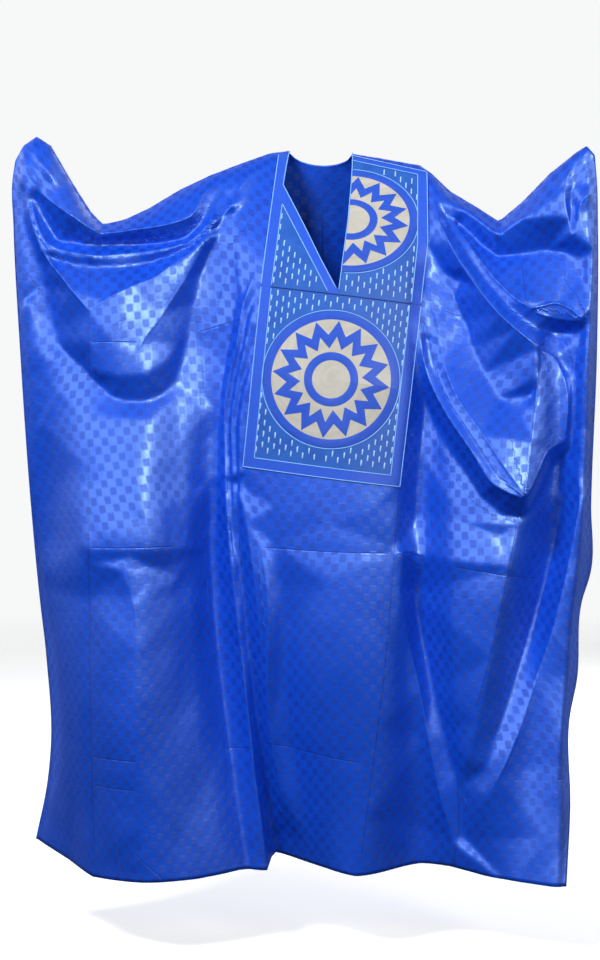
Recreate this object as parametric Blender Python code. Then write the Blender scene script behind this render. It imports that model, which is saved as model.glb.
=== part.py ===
# A wide gala robe held open at both hands, as one hollow garment.
# The origin is the middle of the neck on the shoulder line, +Z is up and the front faces -Y.
# Every sheet is a grid of points on a surface y(x, z), given a thickness along its own normals.
import math
from collections import namedtuple

import bmesh
import bpy
import numpy as np
from mathutils import Vector

for item in list(bpy.data.objects):
    bpy.data.objects.remove(item)

WALL = 0.0015
SEAM = 0.0003
EDGE_ROLL = 0.022
FOLD_LEAST = 0.024

# The fold over the arms and shoulders, from the wearer's right hand to the left one.
# roll is how far the cloth turns outward at the fold, slope is the drop in which it reaches the full depth.
Top = namedtuple("Top", "across height depth roll slope")
TOP_LINE = (
    Top(-0.592, -0.022, -0.100, 0.014, 0.060),
    Top(-0.578, 0.004, -0.100, 0.016, 0.060),
    Top(-0.552, 0.022, -0.100, 0.018, 0.060),
    Top(-0.524, 0.004, -0.100, 0.022, 0.070),
    Top(-0.476, -0.078, -0.092, 0.026, 0.080),
    Top(-0.446, -0.126, -0.080, 0.030, 0.090),
    Top(-0.424, -0.148, -0.070, 0.032, 0.100),
    Top(-0.384, -0.138, -0.052, 0.034, 0.100),
    Top(-0.336, -0.114, -0.034, 0.038, 0.110),
    Top(-0.276, -0.076, -0.015, 0.040, 0.120),
    Top(-0.216, -0.046, 0.000, 0.040, 0.140),
    Top(-0.156, -0.022, 0.010, 0.036, 0.180),
    Top(-0.096, 0.000, 0.018, 0.030, 0.240),
    Top(-0.056, 0.005, 0.020, 0.028, 0.260),
    Top(0.068, -0.001, 0.020, 0.028, 0.260),
    Top(0.124, -0.010, 0.018, 0.028, 0.260),
    Top(0.204, -0.025, 0.010, 0.030, 0.220),
    Top(0.228, -0.042, 0.005, 0.034, 0.160),
    Top(0.264, -0.078, -0.005, 0.036, 0.130),
    Top(0.314, -0.110, -0.025, 0.036, 0.110),
    Top(0.358, -0.141, -0.050, 0.032, 0.100),
    Top(0.404, -0.102, -0.075, 0.028, 0.090),
    Top(0.454, -0.050, -0.100, 0.024, 0.080),
    Top(0.504, -0.010, -0.116, 0.020, 0.070),
    Top(0.524, 0.002, -0.118, 0.018, 0.060),
    Top(0.538, -0.014, -0.120, 0.014, 0.060),
)

# Side edges. gap is half the way from the front's edge to the back's: the mouth of the sleeve.
Edge = namedtuple("Edge", "height across depth gap")
LEFT_EDGE = (
    Edge(-0.022, -0.592, -0.100, 0.000),
    Edge(-0.060, -0.598, -0.098, 0.012),
    Edge(-0.156, -0.596, -0.088, 0.026),
    Edge(-0.400, -0.584, -0.050, 0.055),
    Edge(-0.700, -0.568, -0.010, 0.050),
    Edge(-0.900, -0.556, 0.020, 0.018),
    Edge(-1.000, -0.548, 0.035, 0.000),
    Edge(-1.186, -0.541, 0.070, 0.000),
    Edge(-1.276, -0.552, 0.105, 0.000),
    Edge(-1.400, -0.580, 0.150, 0.000),
)
RIGHT_EDGE = (
    Edge(-0.014, 0.538, -0.120, 0.000),
    Edge(-0.060, 0.542, -0.118, 0.012),
    Edge(-0.156, 0.544, -0.108, 0.026),
    Edge(-0.400, 0.543, -0.075, 0.052),
    Edge(-0.700, 0.537, -0.040, 0.042),
    Edge(-0.840, 0.542, -0.020, 0.006),
    Edge(-0.896, 0.526, -0.018, 0.000),
    Edge(-1.056, 0.514, -0.030, 0.000),
    Edge(-1.120, 0.500, -0.040, 0.000),
    Edge(-1.296, 0.495, -0.090, 0.000),
    Edge(-1.440, 0.482, -0.140, 0.000),
)

Hem = namedtuple("Hem", "across height")
FRONT_HEM = (
    Hem(-0.580, -1.400),
    Hem(-0.516, -1.420),
    Hem(-0.446, -1.440),
    Hem(-0.336, -1.432),
    Hem(-0.236, -1.432),
    Hem(-0.156, -1.420),
    Hem(-0.096, -1.412),
    Hem(-0.036, -1.418),
    Hem(0.074, -1.428),
    Hem(0.204, -1.418),
    Hem(0.264, -1.420),
    Hem(0.324, -1.430),
    Hem(0.404, -1.436),
    Hem(0.482, -1.440),
)
BACK_HEM = (
    Hem(-0.580, -1.400),
    Hem(-0.400, -1.424),
    Hem(-0.200, -1.418),
    Hem(0.000, -1.426),
    Hem(0.200, -1.420),
    Hem(0.360, -1.430),
    Hem(0.482, -1.440),
)

# The opening of the neck in the front, down to the point where its two edges meet.
Neck = namedtuple("Neck", "height left right")
NECK = (
    Neck(0.005, -0.056, 0.068),
    Neck(-0.030, -0.062, 0.067),
    Neck(-0.070, -0.068, 0.064),
    Neck(-0.150, -0.028, 0.056),
    Neck(-0.220, 0.005, 0.046),
    Neck(-0.282, 0.038, 0.038),
)
NECK_LEFT, NECK_RIGHT = NECK[0].left, NECK[0].right
NECK_FOOT = Vector((0.038, -0.282))
HEM_MIDDLE = 0.008
BACK_SCOOP = 0.024

# Heights, from the shoulders, at which each flute of the cloth has a place and a depth.
LEVELS = (-0.15, -0.40, -0.70, -1.00, -1.44)
Flute = namedtuple("Flute", "name across depth")
FRONT_FLUTES = (
    Flute("left edge roll",
          (-0.576, -0.556, -0.532, -0.512, -0.512), (-0.135, -0.120, -0.080, -0.050, 0.070)),
    Flute("left drape crease",
          (-0.442, -0.442, -0.442, -0.442, -0.440), (-0.138, -0.160, -0.172, -0.158, -0.060)),
    Flute("left drape crest",
          (-0.356, -0.346, -0.336, -0.336, -0.320), (-0.108, -0.150, -0.178, -0.168, -0.125)),
    Flute("left drape inner side",
          (-0.256, -0.262, -0.262, -0.246, -0.210), (-0.092, -0.118, -0.125, -0.118, -0.095)),
    Flute("left valley",
          (-0.172, -0.190, -0.200, -0.172, -0.122), (-0.085, -0.094, -0.082, -0.066, -0.035)),
    Flute("panel left side",
          (-0.100, -0.118, -0.140, -0.118, -0.080), (-0.110, -0.138, -0.120, -0.095, 0.010)),
    Flute("belly",
          (0.024, 0.024, 0.024, 0.024, 0.010), (-0.130, -0.172, -0.180, -0.162, -0.050)),
    Flute("panel right side",
          (0.164, 0.168, 0.148, 0.128, 0.084), (-0.110, -0.148, -0.162, -0.156, -0.105)),
    Flute("right valley",
          (0.224, 0.216, 0.196, 0.196, 0.204), (-0.080, -0.112, -0.104, -0.085, -0.015)),
    Flute("right drape crest",
          (0.304, 0.292, 0.280, 0.270, 0.290), (-0.086, -0.134, -0.165, -0.150, -0.050)),
    Flute("right drape crease",
          (0.404, 0.414, 0.394, 0.344, 0.350), (-0.122, -0.148, -0.160, -0.150, -0.095)),
    Flute("right drape valley",
          (0.454, 0.468, 0.460, 0.424, 0.404), (-0.138, -0.126, -0.105, -0.100, -0.125)),
    Flute("right edge roll",
          (0.514, 0.514, 0.510, 0.484, 0.460), (-0.140, -0.145, -0.130, -0.110, -0.150)),
)
BACK_FLUTES = (
    Flute("left drape",
          (-0.500, -0.500, -0.490, -0.480, -0.490), (-0.030, 0.020, 0.070, 0.100, 0.175)),
    Flute("left hollow",
          (-0.400, -0.400, -0.396, -0.390, -0.400), (0.022, 0.044, 0.062, 0.075, 0.125)),
    Flute("left crest",
          (-0.310, -0.300, -0.300, -0.300, -0.300), (0.054, 0.094, 0.120, 0.140, 0.190)),
    Flute("left shoulder blade",
          (-0.170, -0.180, -0.190, -0.190, -0.200), (0.070, 0.100, 0.085, 0.085, 0.110)),
    Flute("left of the middle",
          (-0.080, -0.080, -0.090, -0.095, -0.100), (0.095, 0.125, 0.130, 0.140, 0.170)),
    Flute("middle",
          (0.010, 0.010, 0.010, 0.010, 0.010), (0.095, 0.110, 0.100, 0.100, 0.115)),
    Flute("right of the middle",
          (0.096, 0.096, 0.104, 0.110, 0.110), (0.095, 0.125, 0.130, 0.140, 0.165)),
    Flute("right shoulder blade",
          (0.190, 0.196, 0.204, 0.204, 0.200), (0.070, 0.095, 0.080, 0.080, 0.095)),
    Flute("right crest",
          (0.300, 0.300, 0.300, 0.290, 0.290), (0.046, 0.086, 0.110, 0.120, 0.150)),
    Flute("right hollow",
          (0.390, 0.396, 0.390, 0.376, 0.380), (0.014, 0.030, 0.045, 0.050, 0.060)),
    Flute("right drape",
          (0.480, 0.480, 0.476, 0.450, 0.440), (-0.044, 0.002, 0.030, 0.040, 0.030)),
)

# Folds laid over the flutes. rise is towards the outside; left and right are the widths on the two sides
# of the path, seen from the front; crisp ones have a sharp crest; start and end are the faded lengths.
Fold = namedtuple("Fold", "name rise left right crisp start end path")
FRONT_FOLDS = (
    Fold("hand to elbow ridge", 0.016, 0.016, 0.020, True, 0.10, 0.35,
         ((-0.560, -0.056), (-0.514, -0.108), (-0.468, -0.140), (-0.422, -0.162), (-0.350, -0.160),
          (-0.280, -0.148), (-0.226, -0.120))),
    Fold("roll underside", -0.022, 0.024, 0.020, False, 0.15, 0.30,
         ((-0.516, -0.168), (-0.456, -0.182), (-0.376, -0.184), (-0.296, -0.180), (-0.236, -0.148),
          (-0.192, -0.096))),
    Fold("swag line", 0.014, 0.008, 0.020, True, 0.08, 0.12,
         ((-0.544, -0.108), (-0.508, -0.188), (-0.468, -0.200), (-0.406, -0.204), (-0.330, -0.200),
          (-0.258, -0.182), (-0.218, -0.150), (-0.192, -0.110), (-0.172, -0.056))),
    Fold("shoulder to crease line", 0.020, 0.012, 0.026, True, 0.20, 0.05,
         ((-0.112, -0.012), (-0.146, -0.090), (-0.192, -0.156), (-0.228, -0.196), (-0.280, -0.240),
          (-0.330, -0.270), (-0.396, -0.300), (-0.442, -0.324))),
    Fold("hand to crease line", 0.018, 0.026, 0.012, True, 0.12, 0.05,
         ((-0.564, -0.076), (-0.552, -0.146), (-0.534, -0.200), (-0.504, -0.248), (-0.472, -0.288),
          (-0.442, -0.324))),
    Fold("pouch", 0.030, 0.075, 0.018, False, 0.25, 0.30,
         ((-0.516, -0.236), (-0.496, -0.332), (-0.460, -0.400), (-0.416, -0.452), (-0.368, -0.472),
          (-0.316, -0.464), (-0.280, -0.428), (-0.262, -0.346), (-0.244, -0.246), (-0.224, -0.166))),
    Fold("step under pouch", -0.014, 0.014, 0.050, False, 0.20, 0.35,
         ((-0.532, -0.346), (-0.508, -0.396), (-0.456, -0.456), (-0.404, -0.498), (-0.364, -0.504),
          (-0.326, -0.498), (-0.280, -0.462), (-0.256, -0.376), (-0.236, -0.246))),
    Fold("ramp under pouch", 0.022, 0.110, 0.034, False, 0.15, 0.15,
         ((-0.456, -0.776), (-0.380, -0.780), (-0.300, -0.776))),
    Fold("valley beside the panel", -0.012, 0.040, 0.014, False, 0.25, 0.15,
         ((-0.164, -0.296), (-0.192, -0.436), (-0.204, -0.596), (-0.196, -0.816), (-0.172, -1.016),
          (-0.140, -1.216), (-0.104, -1.424))),
    Fold("centre panel edge", 0.014, 0.020, 0.010, True, 0.20, 0.02,
         ((-0.172, -0.636), (-0.160, -0.816), (-0.140, -1.016), (-0.120, -1.216), (-0.096, -1.428))),
    Fold("roll underside right", -0.026, 0.026, 0.028, False, 0.25, 0.25,
         ((0.236, -0.080), (0.288, -0.148), (0.344, -0.172), (0.404, -0.168), (0.460, -0.112),
          (0.496, -0.064))),
    Fold("shoulder swag E", 0.014, 0.016, 0.010, True, 0.10, 0.10,
         ((0.224, -0.076), (0.254, -0.140), (0.290, -0.204), (0.332, -0.262), (0.372, -0.298),
          (0.408, -0.320), (0.460, -0.332), (0.512, -0.340))),
    Fold("fin", 0.018, 0.014, 0.010, True, 0.25, 0.15,
         ((0.388, -0.308), (0.424, -0.312), (0.456, -0.304), (0.488, -0.308), (0.514, -0.328))),
    Fold("shoulder swag F", 0.028, 0.024, 0.012, True, 0.15, 0.10,
         ((0.220, -0.052), (0.232, -0.116), (0.250, -0.168), (0.288, -0.236), (0.326, -0.294),
          (0.364, -0.344), (0.396, -0.376), (0.430, -0.400))),
    Fold("dark hollow under F", -0.024, 0.020, 0.030, False, 0.20, 0.25,
         ((0.228, -0.196), (0.260, -0.266), (0.300, -0.346), (0.340, -0.416), (0.376, -0.472))),
    Fold("G ridge", 0.012, 0.010, 0.026, True, 0.20, 0.15,
         ((0.216, -0.186), (0.244, -0.246), (0.272, -0.296), (0.286, -0.356), (0.308, -0.426),
          (0.358, -0.492))),
    Fold("bright facet", 0.014, 0.030, 0.030, False, 0.25, 0.25,
         ((0.224, -0.356), (0.256, -0.416), (0.288, -0.486), (0.334, -0.556), (0.374, -0.616))),
    Fold("pouch rim right", 0.026, 0.040, 0.010, True, 0.20, 0.10,
         ((0.184, -0.306), (0.198, -0.376), (0.220, -0.458), (0.252, -0.518), (0.284, -0.582),
          (0.320, -0.630), (0.370, -0.674), (0.396, -0.680), (0.412, -0.644), (0.444, -0.596),
          (0.476, -0.572), (0.508, -0.506))),
    Fold("facet right of crease", 0.016, 0.016, 0.024, True, 0.20, 0.20,
         ((0.444, -0.420), (0.468, -0.466), (0.476, -0.516), (0.476, -0.576))),
    Fold("dark fold right", -0.024, 0.020, 0.018, False, 0.15, 0.25,
         ((0.504, -0.196), (0.492, -0.356), (0.484, -0.536), (0.468, -0.736), (0.440, -0.936),
          (0.408, -1.136))),
    Fold("valley right of panel", -0.012, 0.030, 0.026, False, 0.20, 0.10,
         ((0.168, -0.656), (0.170, -0.862), (0.196, -1.026), (0.224, -1.126), (0.236, -1.232),
          (0.268, -1.396))),
)
BACK_FOLDS = (
    Fold("left hand to shoulder blade", 0.022, 0.020, 0.030, True, 0.15, 0.20,
         ((-0.550, -0.120), (-0.480, -0.200), (-0.380, -0.230), (-0.280, -0.200), (-0.210, -0.130))),
    Fold("left pouch", 0.028, 0.060, 0.024, False, 0.25, 0.25,
         ((-0.520, -0.260), (-0.480, -0.380), (-0.390, -0.460), (-0.300, -0.420), (-0.240, -0.280))),
    Fold("left roll underside", -0.012, 0.026, 0.026, False, 0.20, 0.25,
         ((-0.500, -0.180), (-0.400, -0.200), (-0.300, -0.170), (-0.240, -0.110))),
    Fold("right hand to shoulder blade", 0.022, 0.030, 0.020, True, 0.15, 0.20,
         ((0.500, -0.120), (0.440, -0.190), (0.360, -0.220), (0.280, -0.190), (0.220, -0.120))),
    Fold("right pouch", 0.028, 0.024, 0.060, False, 0.25, 0.25,
         ((0.490, -0.260), (0.450, -0.380), (0.370, -0.450), (0.290, -0.400), (0.240, -0.270))),
    Fold("right roll underside", -0.012, 0.026, 0.026, False, 0.20, 0.25,
         ((0.470, -0.150), (0.380, -0.190), (0.300, -0.170), (0.240, -0.110))),
    Fold("long fold left", 0.016, 0.030, 0.024, False, 0.25, 0.10,
         ((-0.220, -0.450), (-0.230, -0.800), (-0.250, -1.100), (-0.260, -1.440))),
    Fold("long fold right", 0.016, 0.024, 0.030, False, 0.25, 0.10,
         ((0.230, -0.450), (0.240, -0.800), (0.240, -1.100), (0.250, -1.440))),
)

# Where the columns start on the fold over the arms, and the drops of the rows as parts of the length.
LEFT_COLUMNS = (-0.592, -0.583, -0.569, -0.548, -0.524, -0.500, -0.476, -0.458, -0.441, -0.424,
                -0.404, -0.374, -0.342, -0.308, -0.272, -0.238, -0.204, -0.172, -0.142, -0.114,
                -0.084, NECK_LEFT)
RIGHT_COLUMNS = (NECK_RIGHT, 0.094, 0.122, 0.150, 0.178, 0.204, 0.228, 0.256, 0.284, 0.310, 0.334, 0.358,
                 0.382, 0.406, 0.430, 0.455, 0.480, 0.502, 0.518, 0.530, 0.538)
NECK_COLUMNS = (-0.044, -0.022, 0.006, 0.034, 0.056)
ROWS = (0.000, 0.003, 0.008, 0.016, 0.027, 0.041, 0.058, 0.076, 0.096, 0.116, 0.137, 0.158, 0.179, 0.200,
        0.222, 0.244, 0.266, 0.289, 0.313, 0.338, 0.366, 0.396, 0.430, 0.468, 0.508, 0.550, 0.596, 0.644,
        0.694, 0.744, 0.796, 0.848, 0.900, 0.951, 1.000)
NECK_ROW = 13

# Outlines on the front, clockwise, across and up. A ground is what a panel's blue strips leave free.
NECK_PANEL = ((-0.0785, -0.0040), (0.0600, -0.0080), (0.2185, -0.0437), (0.2160, -0.1900),
              (0.2010, -0.3095), (-0.1125, -0.2715))
GROUND_LEFT = ((-0.0708, -0.1094), (0.0185, -0.2874), (0.0180, -0.3500), (-0.1014, -0.3500))
GROUND_RIGHT = ((0.0300, -0.0140), (0.0660, -0.0180), (0.1980, -0.0475), (0.1950, -0.1880),
                (0.1770, -0.3400), (0.0300, -0.3400))
POCKET = ((-0.1125, -0.2718), (0.2010, -0.3098), (0.1580, -0.6640), (-0.1480, -0.6260))
POCKET_GROUND = ((-0.0880, -0.2400), (0.1836, -0.2600), (0.1394, -0.6406), (-0.1247, -0.6078))
OUT = Vector((0.0, -0.900, 0.436))
LAYER_GAP = 0.00050
LAYER_WALL = 0.00120

Disc = namedtuple("Disc", "across height wide tall sides")
POCKET_DISC = Disc(0.024, -0.455, 0.131, 0.131, 28)
NECK_DISC = Disc(0.064, -0.140, 0.128, 0.106, 28)


def column(rows, name):
    return np.array([getattr(row, name) for row in rows])


def through(knots, values, at):
    """A smooth curve through the values at the knots, read at the given places."""
    knots = np.asarray(knots, float)
    values = np.asarray(values, float)
    at = np.clip(at, knots[0], knots[-1])
    k = np.clip(np.searchsorted(knots, at) - 1, 0, len(knots) - 2)
    width = knots[k + 1] - knots[k]
    slopes = np.gradient(values, knots)
    t = (at - knots[k]) / width
    return hermite(t, values[k], values[k + 1], slopes[k] * width, slopes[k + 1] * width)


def hermite(t, a, b, out_a, into_b):
    return a + t * (out_a + t * (3 * (b - a) - 2 * out_a - into_b + t * (2 * (a - b) + out_a + into_b)))


def rounding(t):
    """0 at 0 and 1 from 1 on, starting straight up as a quarter of a circle does."""
    return np.sqrt(1 - (1 - np.clip(t, 0, 1)) ** 2)


def easing(t):
    return np.sin(np.clip(t, 0, 1) * math.pi / 2) ** 1.1


def top_value(name, x):
    if name == "height":
        return np.interp(x, column(TOP_LINE, "across"), column(TOP_LINE, "height"))
    return through(column(TOP_LINE, "across"), column(TOP_LINE, name), x)


def edge_value(rows, name, z):
    return through(-column(rows, "height"), column(rows, name), -z)


def across_flutes(flutes, left, right, x, z):
    """Depth of a sheet from its flutes and its two side edges."""
    down = -np.array(LEVELS)
    places = [left[0]] + [through(down, f.across, -z) for f in flutes] + [right[0]]
    depths = [left[1]] + [through(down, f.depth, -z) for f in flutes] + [right[1]]
    places = np.stack(places, axis=-1)
    depths = np.stack(depths, axis=-1)
    count = places.shape[-1]
    k = np.clip((x[..., None] > places).sum(-1) - 1, 0, count - 2)

    def pick(table, i):
        return np.take_along_axis(table, np.clip(i, 0, count - 1)[..., None], -1)[..., 0]

    def slope(i):
        run = np.maximum(pick(places, i + 1) - pick(places, i - 1), 1e-6)
        return (pick(depths, i + 1) - pick(depths, i - 1)) / run

    width = np.maximum(pick(places, k + 1) - pick(places, k), 1e-6)
    t = np.clip((x - pick(places, k)) / width, 0, 1)
    return hermite(t, pick(depths, k), pick(depths, k + 1), slope(k) * width, slope(k + 1) * width)


def path_points(path, count=40):
    points = np.array(path, float)
    steps = np.linalg.norm(np.diff(points, axis=0), axis=1)
    along = np.concatenate([[0], np.cumsum(steps)])
    at = np.linspace(0, along[-1], count)
    return np.stack([through(along, points[:, 0], at), through(along, points[:, 1], at)], 1)


def fold_rise(fold, x, z):
    line = path_points(fold.path)
    best = np.full(x.shape, np.inf)
    side = np.zeros(x.shape)
    place = np.zeros(x.shape)
    for i in range(len(line) - 1):
        start = line[i]
        step = line[i + 1] - line[i]
        t = np.clip(((x - start[0]) * step[0] + (z - start[1]) * step[1]) / (step @ step), 0, 1)
        off_x = x - start[0] - t * step[0]
        off_z = z - start[1] - t * step[1]
        away = np.hypot(off_x, off_z)
        near = away < best
        best = np.where(near, away, best)
        side = np.where(near, step[0] * off_z - step[1] * off_x, side)
        place = np.where(near, (i + t) / (len(line) - 1), place)
    width = np.maximum(np.where(side > 0, fold.left, fold.right), FOLD_LEAST)
    fade = easing(place / fold.start) * easing((1 - place) / fold.end)
    q = best / width
    shape = np.exp(0.25 - np.sqrt(q * q + 0.0625)) if fold.crisp else np.exp(-q * q)
    return fold.rise * fade * shape * np.clip(1.4 - q / 3, 0, 1)


def sheet_depth(x, z, flutes, folds, outward):
    """y of the front (outward -1) or the back (outward 1) at the places (x, z)."""
    sides = []
    for rows in (LEFT_EDGE, RIGHT_EDGE):
        gap = np.maximum(edge_value(rows, "gap", z), SEAM / 2)
        sides.append((edge_value(rows, "across", z), edge_value(rows, "depth", z) + outward * gap))
    y = across_flutes(flutes, sides[0], sides[1], x, z)
    for fold in folds:
        y = y + outward * fold_rise(fold, x, z)
    y = sides[0][1] + (y - sides[0][1]) * rounding((x - sides[0][0]) / EDGE_ROLL)
    y = sides[1][1] + (y - sides[1][1]) * rounding((sides[1][0] - x) / EDGE_ROLL)
    drop = top_value("height", x) - z
    roll = top_value("roll", x)
    ridge = top_value("depth", x) + outward * SEAM / 2
    turned = ridge + outward * roll * rounding(drop / roll)
    return turned + (y - turned) * easing(drop / top_value("slope", x))


def side_line(table, top, hem_height):
    """The row points of a sheet's side edge, as columns across and up."""
    z = top.height - np.array(ROWS) * (top.height - hem_height)
    return edge_value(table, "across", z), z


def neck_line(name, top_height):
    """The row points of an inner edge: down the neck opening to its foot, then down the middle."""
    rows = np.array(ROWS)
    part = rows / ROWS[NECK_ROW]
    rest = (rows - ROWS[NECK_ROW]) / (1 - ROWS[NECK_ROW])
    z = np.where(part < 1, top_height + part * (NECK_FOOT[1] - top_height), 0)
    middle_hem = float(np.interp(HEM_MIDDLE, column(FRONT_HEM, "across"), column(FRONT_HEM, "height")))
    z = np.where(part < 1, z, NECK_FOOT[1] + rest * (middle_hem - NECK_FOOT[1]))
    opening = np.interp(-z, -column(NECK, "height"), column(NECK, name))
    x = np.where(part < 1, opening, NECK_FOOT[0] + rest * (HEM_MIDDLE - NECK_FOOT[0]))
    return x, z


def grid_places(starts, outer, inner, hem):
    """Columns of places (x, z) between an outer and an inner line, given where they start on the top fold."""
    starts = np.array(starts)
    rows = np.array(ROWS)
    share = (starts - outer[0][0]) / (inner[0][0] - outer[0][0])
    x = outer[0][None, :] + share[:, None] * (inner[0] - outer[0])[None, :]
    top = top_value("height", starts)
    bottom = np.interp(x[:, -1], column(hem, "across"), column(hem, "height"))
    z = top[:, None] - rows[None, :] * (top - bottom)[:, None]
    own = np.argmax(share)
    miss = inner[1] - z[own]
    return x, z + miss[None, :] * share[:, None] ** 3


def back_places():
    """Columns of places for the back, the same as the front's on the fold over the arms."""
    starts = np.array(LEFT_COLUMNS + NECK_COLUMNS + RIGHT_COLUMNS)
    left = side_line(LEFT_EDGE, TOP_LINE[0], BACK_HEM[0].height)
    right = side_line(RIGHT_EDGE, TOP_LINE[-1], BACK_HEM[-1].height)
    share = (starts - starts[0]) / (starts[-1] - starts[0])
    x = left[0][None, :] + share[:, None] * (right[0] - left[0])[None, :]
    across = np.clip((starts - NECK_LEFT) / (NECK_RIGHT - NECK_LEFT), 0, 1)
    top = top_value("height", starts) - BACK_SCOOP * np.sqrt(np.sin(math.pi * across) + 1e-12)
    bottom = np.interp(x[:, -1], column(BACK_HEM, "across"), column(BACK_HEM, "height"))
    z = top[:, None] - np.array(ROWS)[None, :] * (top - bottom)[:, None]
    return x[:, ::2], z[:, ::2]


def straighten(points, edge):
    """Every second point of an edge goes halfway between its neighbours, so that both sheets' edges match."""
    points[edge, 1:-1:2] = (points[edge, 0:-2:2] + points[edge, 2::2]) / 2


def sheet_points(x, z, flutes, folds, outward):
    return np.stack([x, sheet_depth(x, z, flutes, folds, outward), z], axis=-1)


def cells(columns, rows, first=0):
    """Quads of a grid stored column by column, facing -Y."""
    for i in range(columns - 1):
        for j in range(rows - 1):
            a = first + i * rows + j
            yield (a, a + 1, a + rows + 1, a + rows)


def vertex_normals(points, quads):
    normals = np.zeros_like(points)
    for a, b, c, d in quads:
        face = np.cross(points[c] - points[a], points[d] - points[b])
        for corner in (a, b, c, d):
            normals[corner] += face
    return normals / np.maximum(np.linalg.norm(normals, axis=1, keepdims=True), 1e-12)


def edge_normals(line, outside):
    """Normals in the x-z plane along an edge, so that two sheets' rims face each other there."""
    tangent = np.gradient(line, axis=0)
    normal = np.stack([-tangent[:, 2], np.zeros(len(line)), tangent[:, 0]], 1)
    normal /= np.linalg.norm(normal, axis=1, keepdims=True)
    return normal * np.sign((normal @ np.array(outside)))[:, None]


def halves(quads):
    """Each quad as two triangles, always along the same diagonal."""
    for a, b, c, d in quads:
        yield (a, b, c)
        yield (a, c, d)


def closed_body(outer, inner, quads):
    """Faces of a body between two copies of a sheet, with its rim."""
    count = len(outer)
    faces = [tuple(q) for q in quads] + [tuple(v + count for v in reversed(q)) for q in quads]
    seen = {}
    for q in faces[:len(quads)]:
        for a, b in zip(q, q[1:] + q[:1]):
            seen[(a, b)] = True
    for a, b in list(seen):
        if (b, a) not in seen:
            faces.append((b, a, a + count, b + count))
    return np.concatenate([outer, inner]), faces


def make_object(name, points, faces, material):
    mesh = bpy.data.meshes.new(name)
    mesh.from_pydata([tuple(p) for p in points], [], faces)
    mesh.validate()
    shape = bmesh.new()
    shape.from_mesh(mesh)
    loose = [v for v in shape.verts if not v.link_faces]
    bmesh.ops.delete(shape, geom=loose, context="VERTS")
    bmesh.ops.triangulate(shape, faces=shape.faces)
    bmesh.ops.recalc_face_normals(shape, faces=shape.faces)
    shape.to_mesh(mesh)
    shape.free()
    mesh.materials.append(material)
    item = bpy.data.objects.new(name, mesh)
    robe.objects.link(item)
    return item


def cloth(name, colour, roughness):
    material = bpy.data.materials.new(name)
    material.use_nodes = True
    shader = material.node_tree.nodes["Principled BSDF"]
    shader.inputs["Base Color"].default_value = (*colour, 1.0)
    shader.inputs["Roughness"].default_value = roughness
    return material


robe = bpy.data.collections.new("grand_boubou_robe")
bpy.context.scene.collection.children.link(robe)
BLUE = (0.020, 0.095, 0.610)

# The front: two grids that share their inner columns below the foot of the neck opening.
rows = len(ROWS)
left_side = side_line(LEFT_EDGE, TOP_LINE[0], FRONT_HEM[0].height)
right_side = side_line(RIGHT_EDGE, TOP_LINE[-1], FRONT_HEM[-1].height)
left_x, left_z = grid_places(LEFT_COLUMNS, left_side, neck_line("left", 0.005), FRONT_HEM)
right_x, right_z = grid_places(RIGHT_COLUMNS, right_side, neck_line("right", -0.001), FRONT_HEM)
left = sheet_points(left_x, left_z, FRONT_FLUTES, FRONT_FOLDS, -1)
right = sheet_points(right_x, right_z, FRONT_FLUTES, FRONT_FOLDS, -1)
straighten(left, 0)
straighten(right, -1)
shared = (left[-1, NECK_ROW:] + right[0, NECK_ROW:]) / 2
left[-1, NECK_ROW:] = shared
front = np.concatenate([left.reshape(-1, 3), right.reshape(-1, 3)])
first_right = len(LEFT_COLUMNS) * rows
joined = {first_right + j: (len(LEFT_COLUMNS) - 1) * rows + j for j in range(NECK_ROW, rows)}
front_quads = list(cells(len(LEFT_COLUMNS), rows)) + list(cells(len(RIGHT_COLUMNS), rows, first_right))
front_quads = [tuple(joined.get(v, v) for v in q) for q in front_quads]
front_normals = vertex_normals(front, front_quads)


def set_edge(normals, points, places, outside, step=1, table=None):
    """Rim normals from every step-th point of an edge, forced only where the two sheets meet."""
    normal = edge_normals(points[places[::step]], outside)
    if step == 2:
        full = np.zeros((len(places), 3))
        full[::2] = normal
        full[1::2] = (normal[:-1] + normal[1:]) / 2
        normal = full
    share = np.ones(len(places))
    if table is not None:
        share = np.clip(1 - edge_value(table, "gap", points[places, 2]) / 0.012, 0, 1)
    mixed = normal * share[:, None] + normals[places] * (1 - share[:, None])
    normals[places] = mixed / np.linalg.norm(mixed, axis=1, keepdims=True)


last = len(front) - rows
set_edge(front_normals, front, np.arange(0, rows), (-1, 0, 0), 2, LEFT_EDGE)
set_edge(front_normals, front, last + np.arange(0, rows), (1, 0, 0), 2, RIGHT_EDGE)
set_edge(front_normals, front, np.arange(0, len(LEFT_COLUMNS)) * rows, (0, 0, 1))
set_edge(front_normals, front, first_right + np.arange(0, len(RIGHT_COLUMNS)) * rows, (0, 0, 1))
front_faces = list(halves(front_quads))
points, faces = closed_body(front, front - WALL * front_normals, front_faces)
make_object("front_body", points, faces, cloth("front cloth", BLUE, 0.34))

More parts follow.
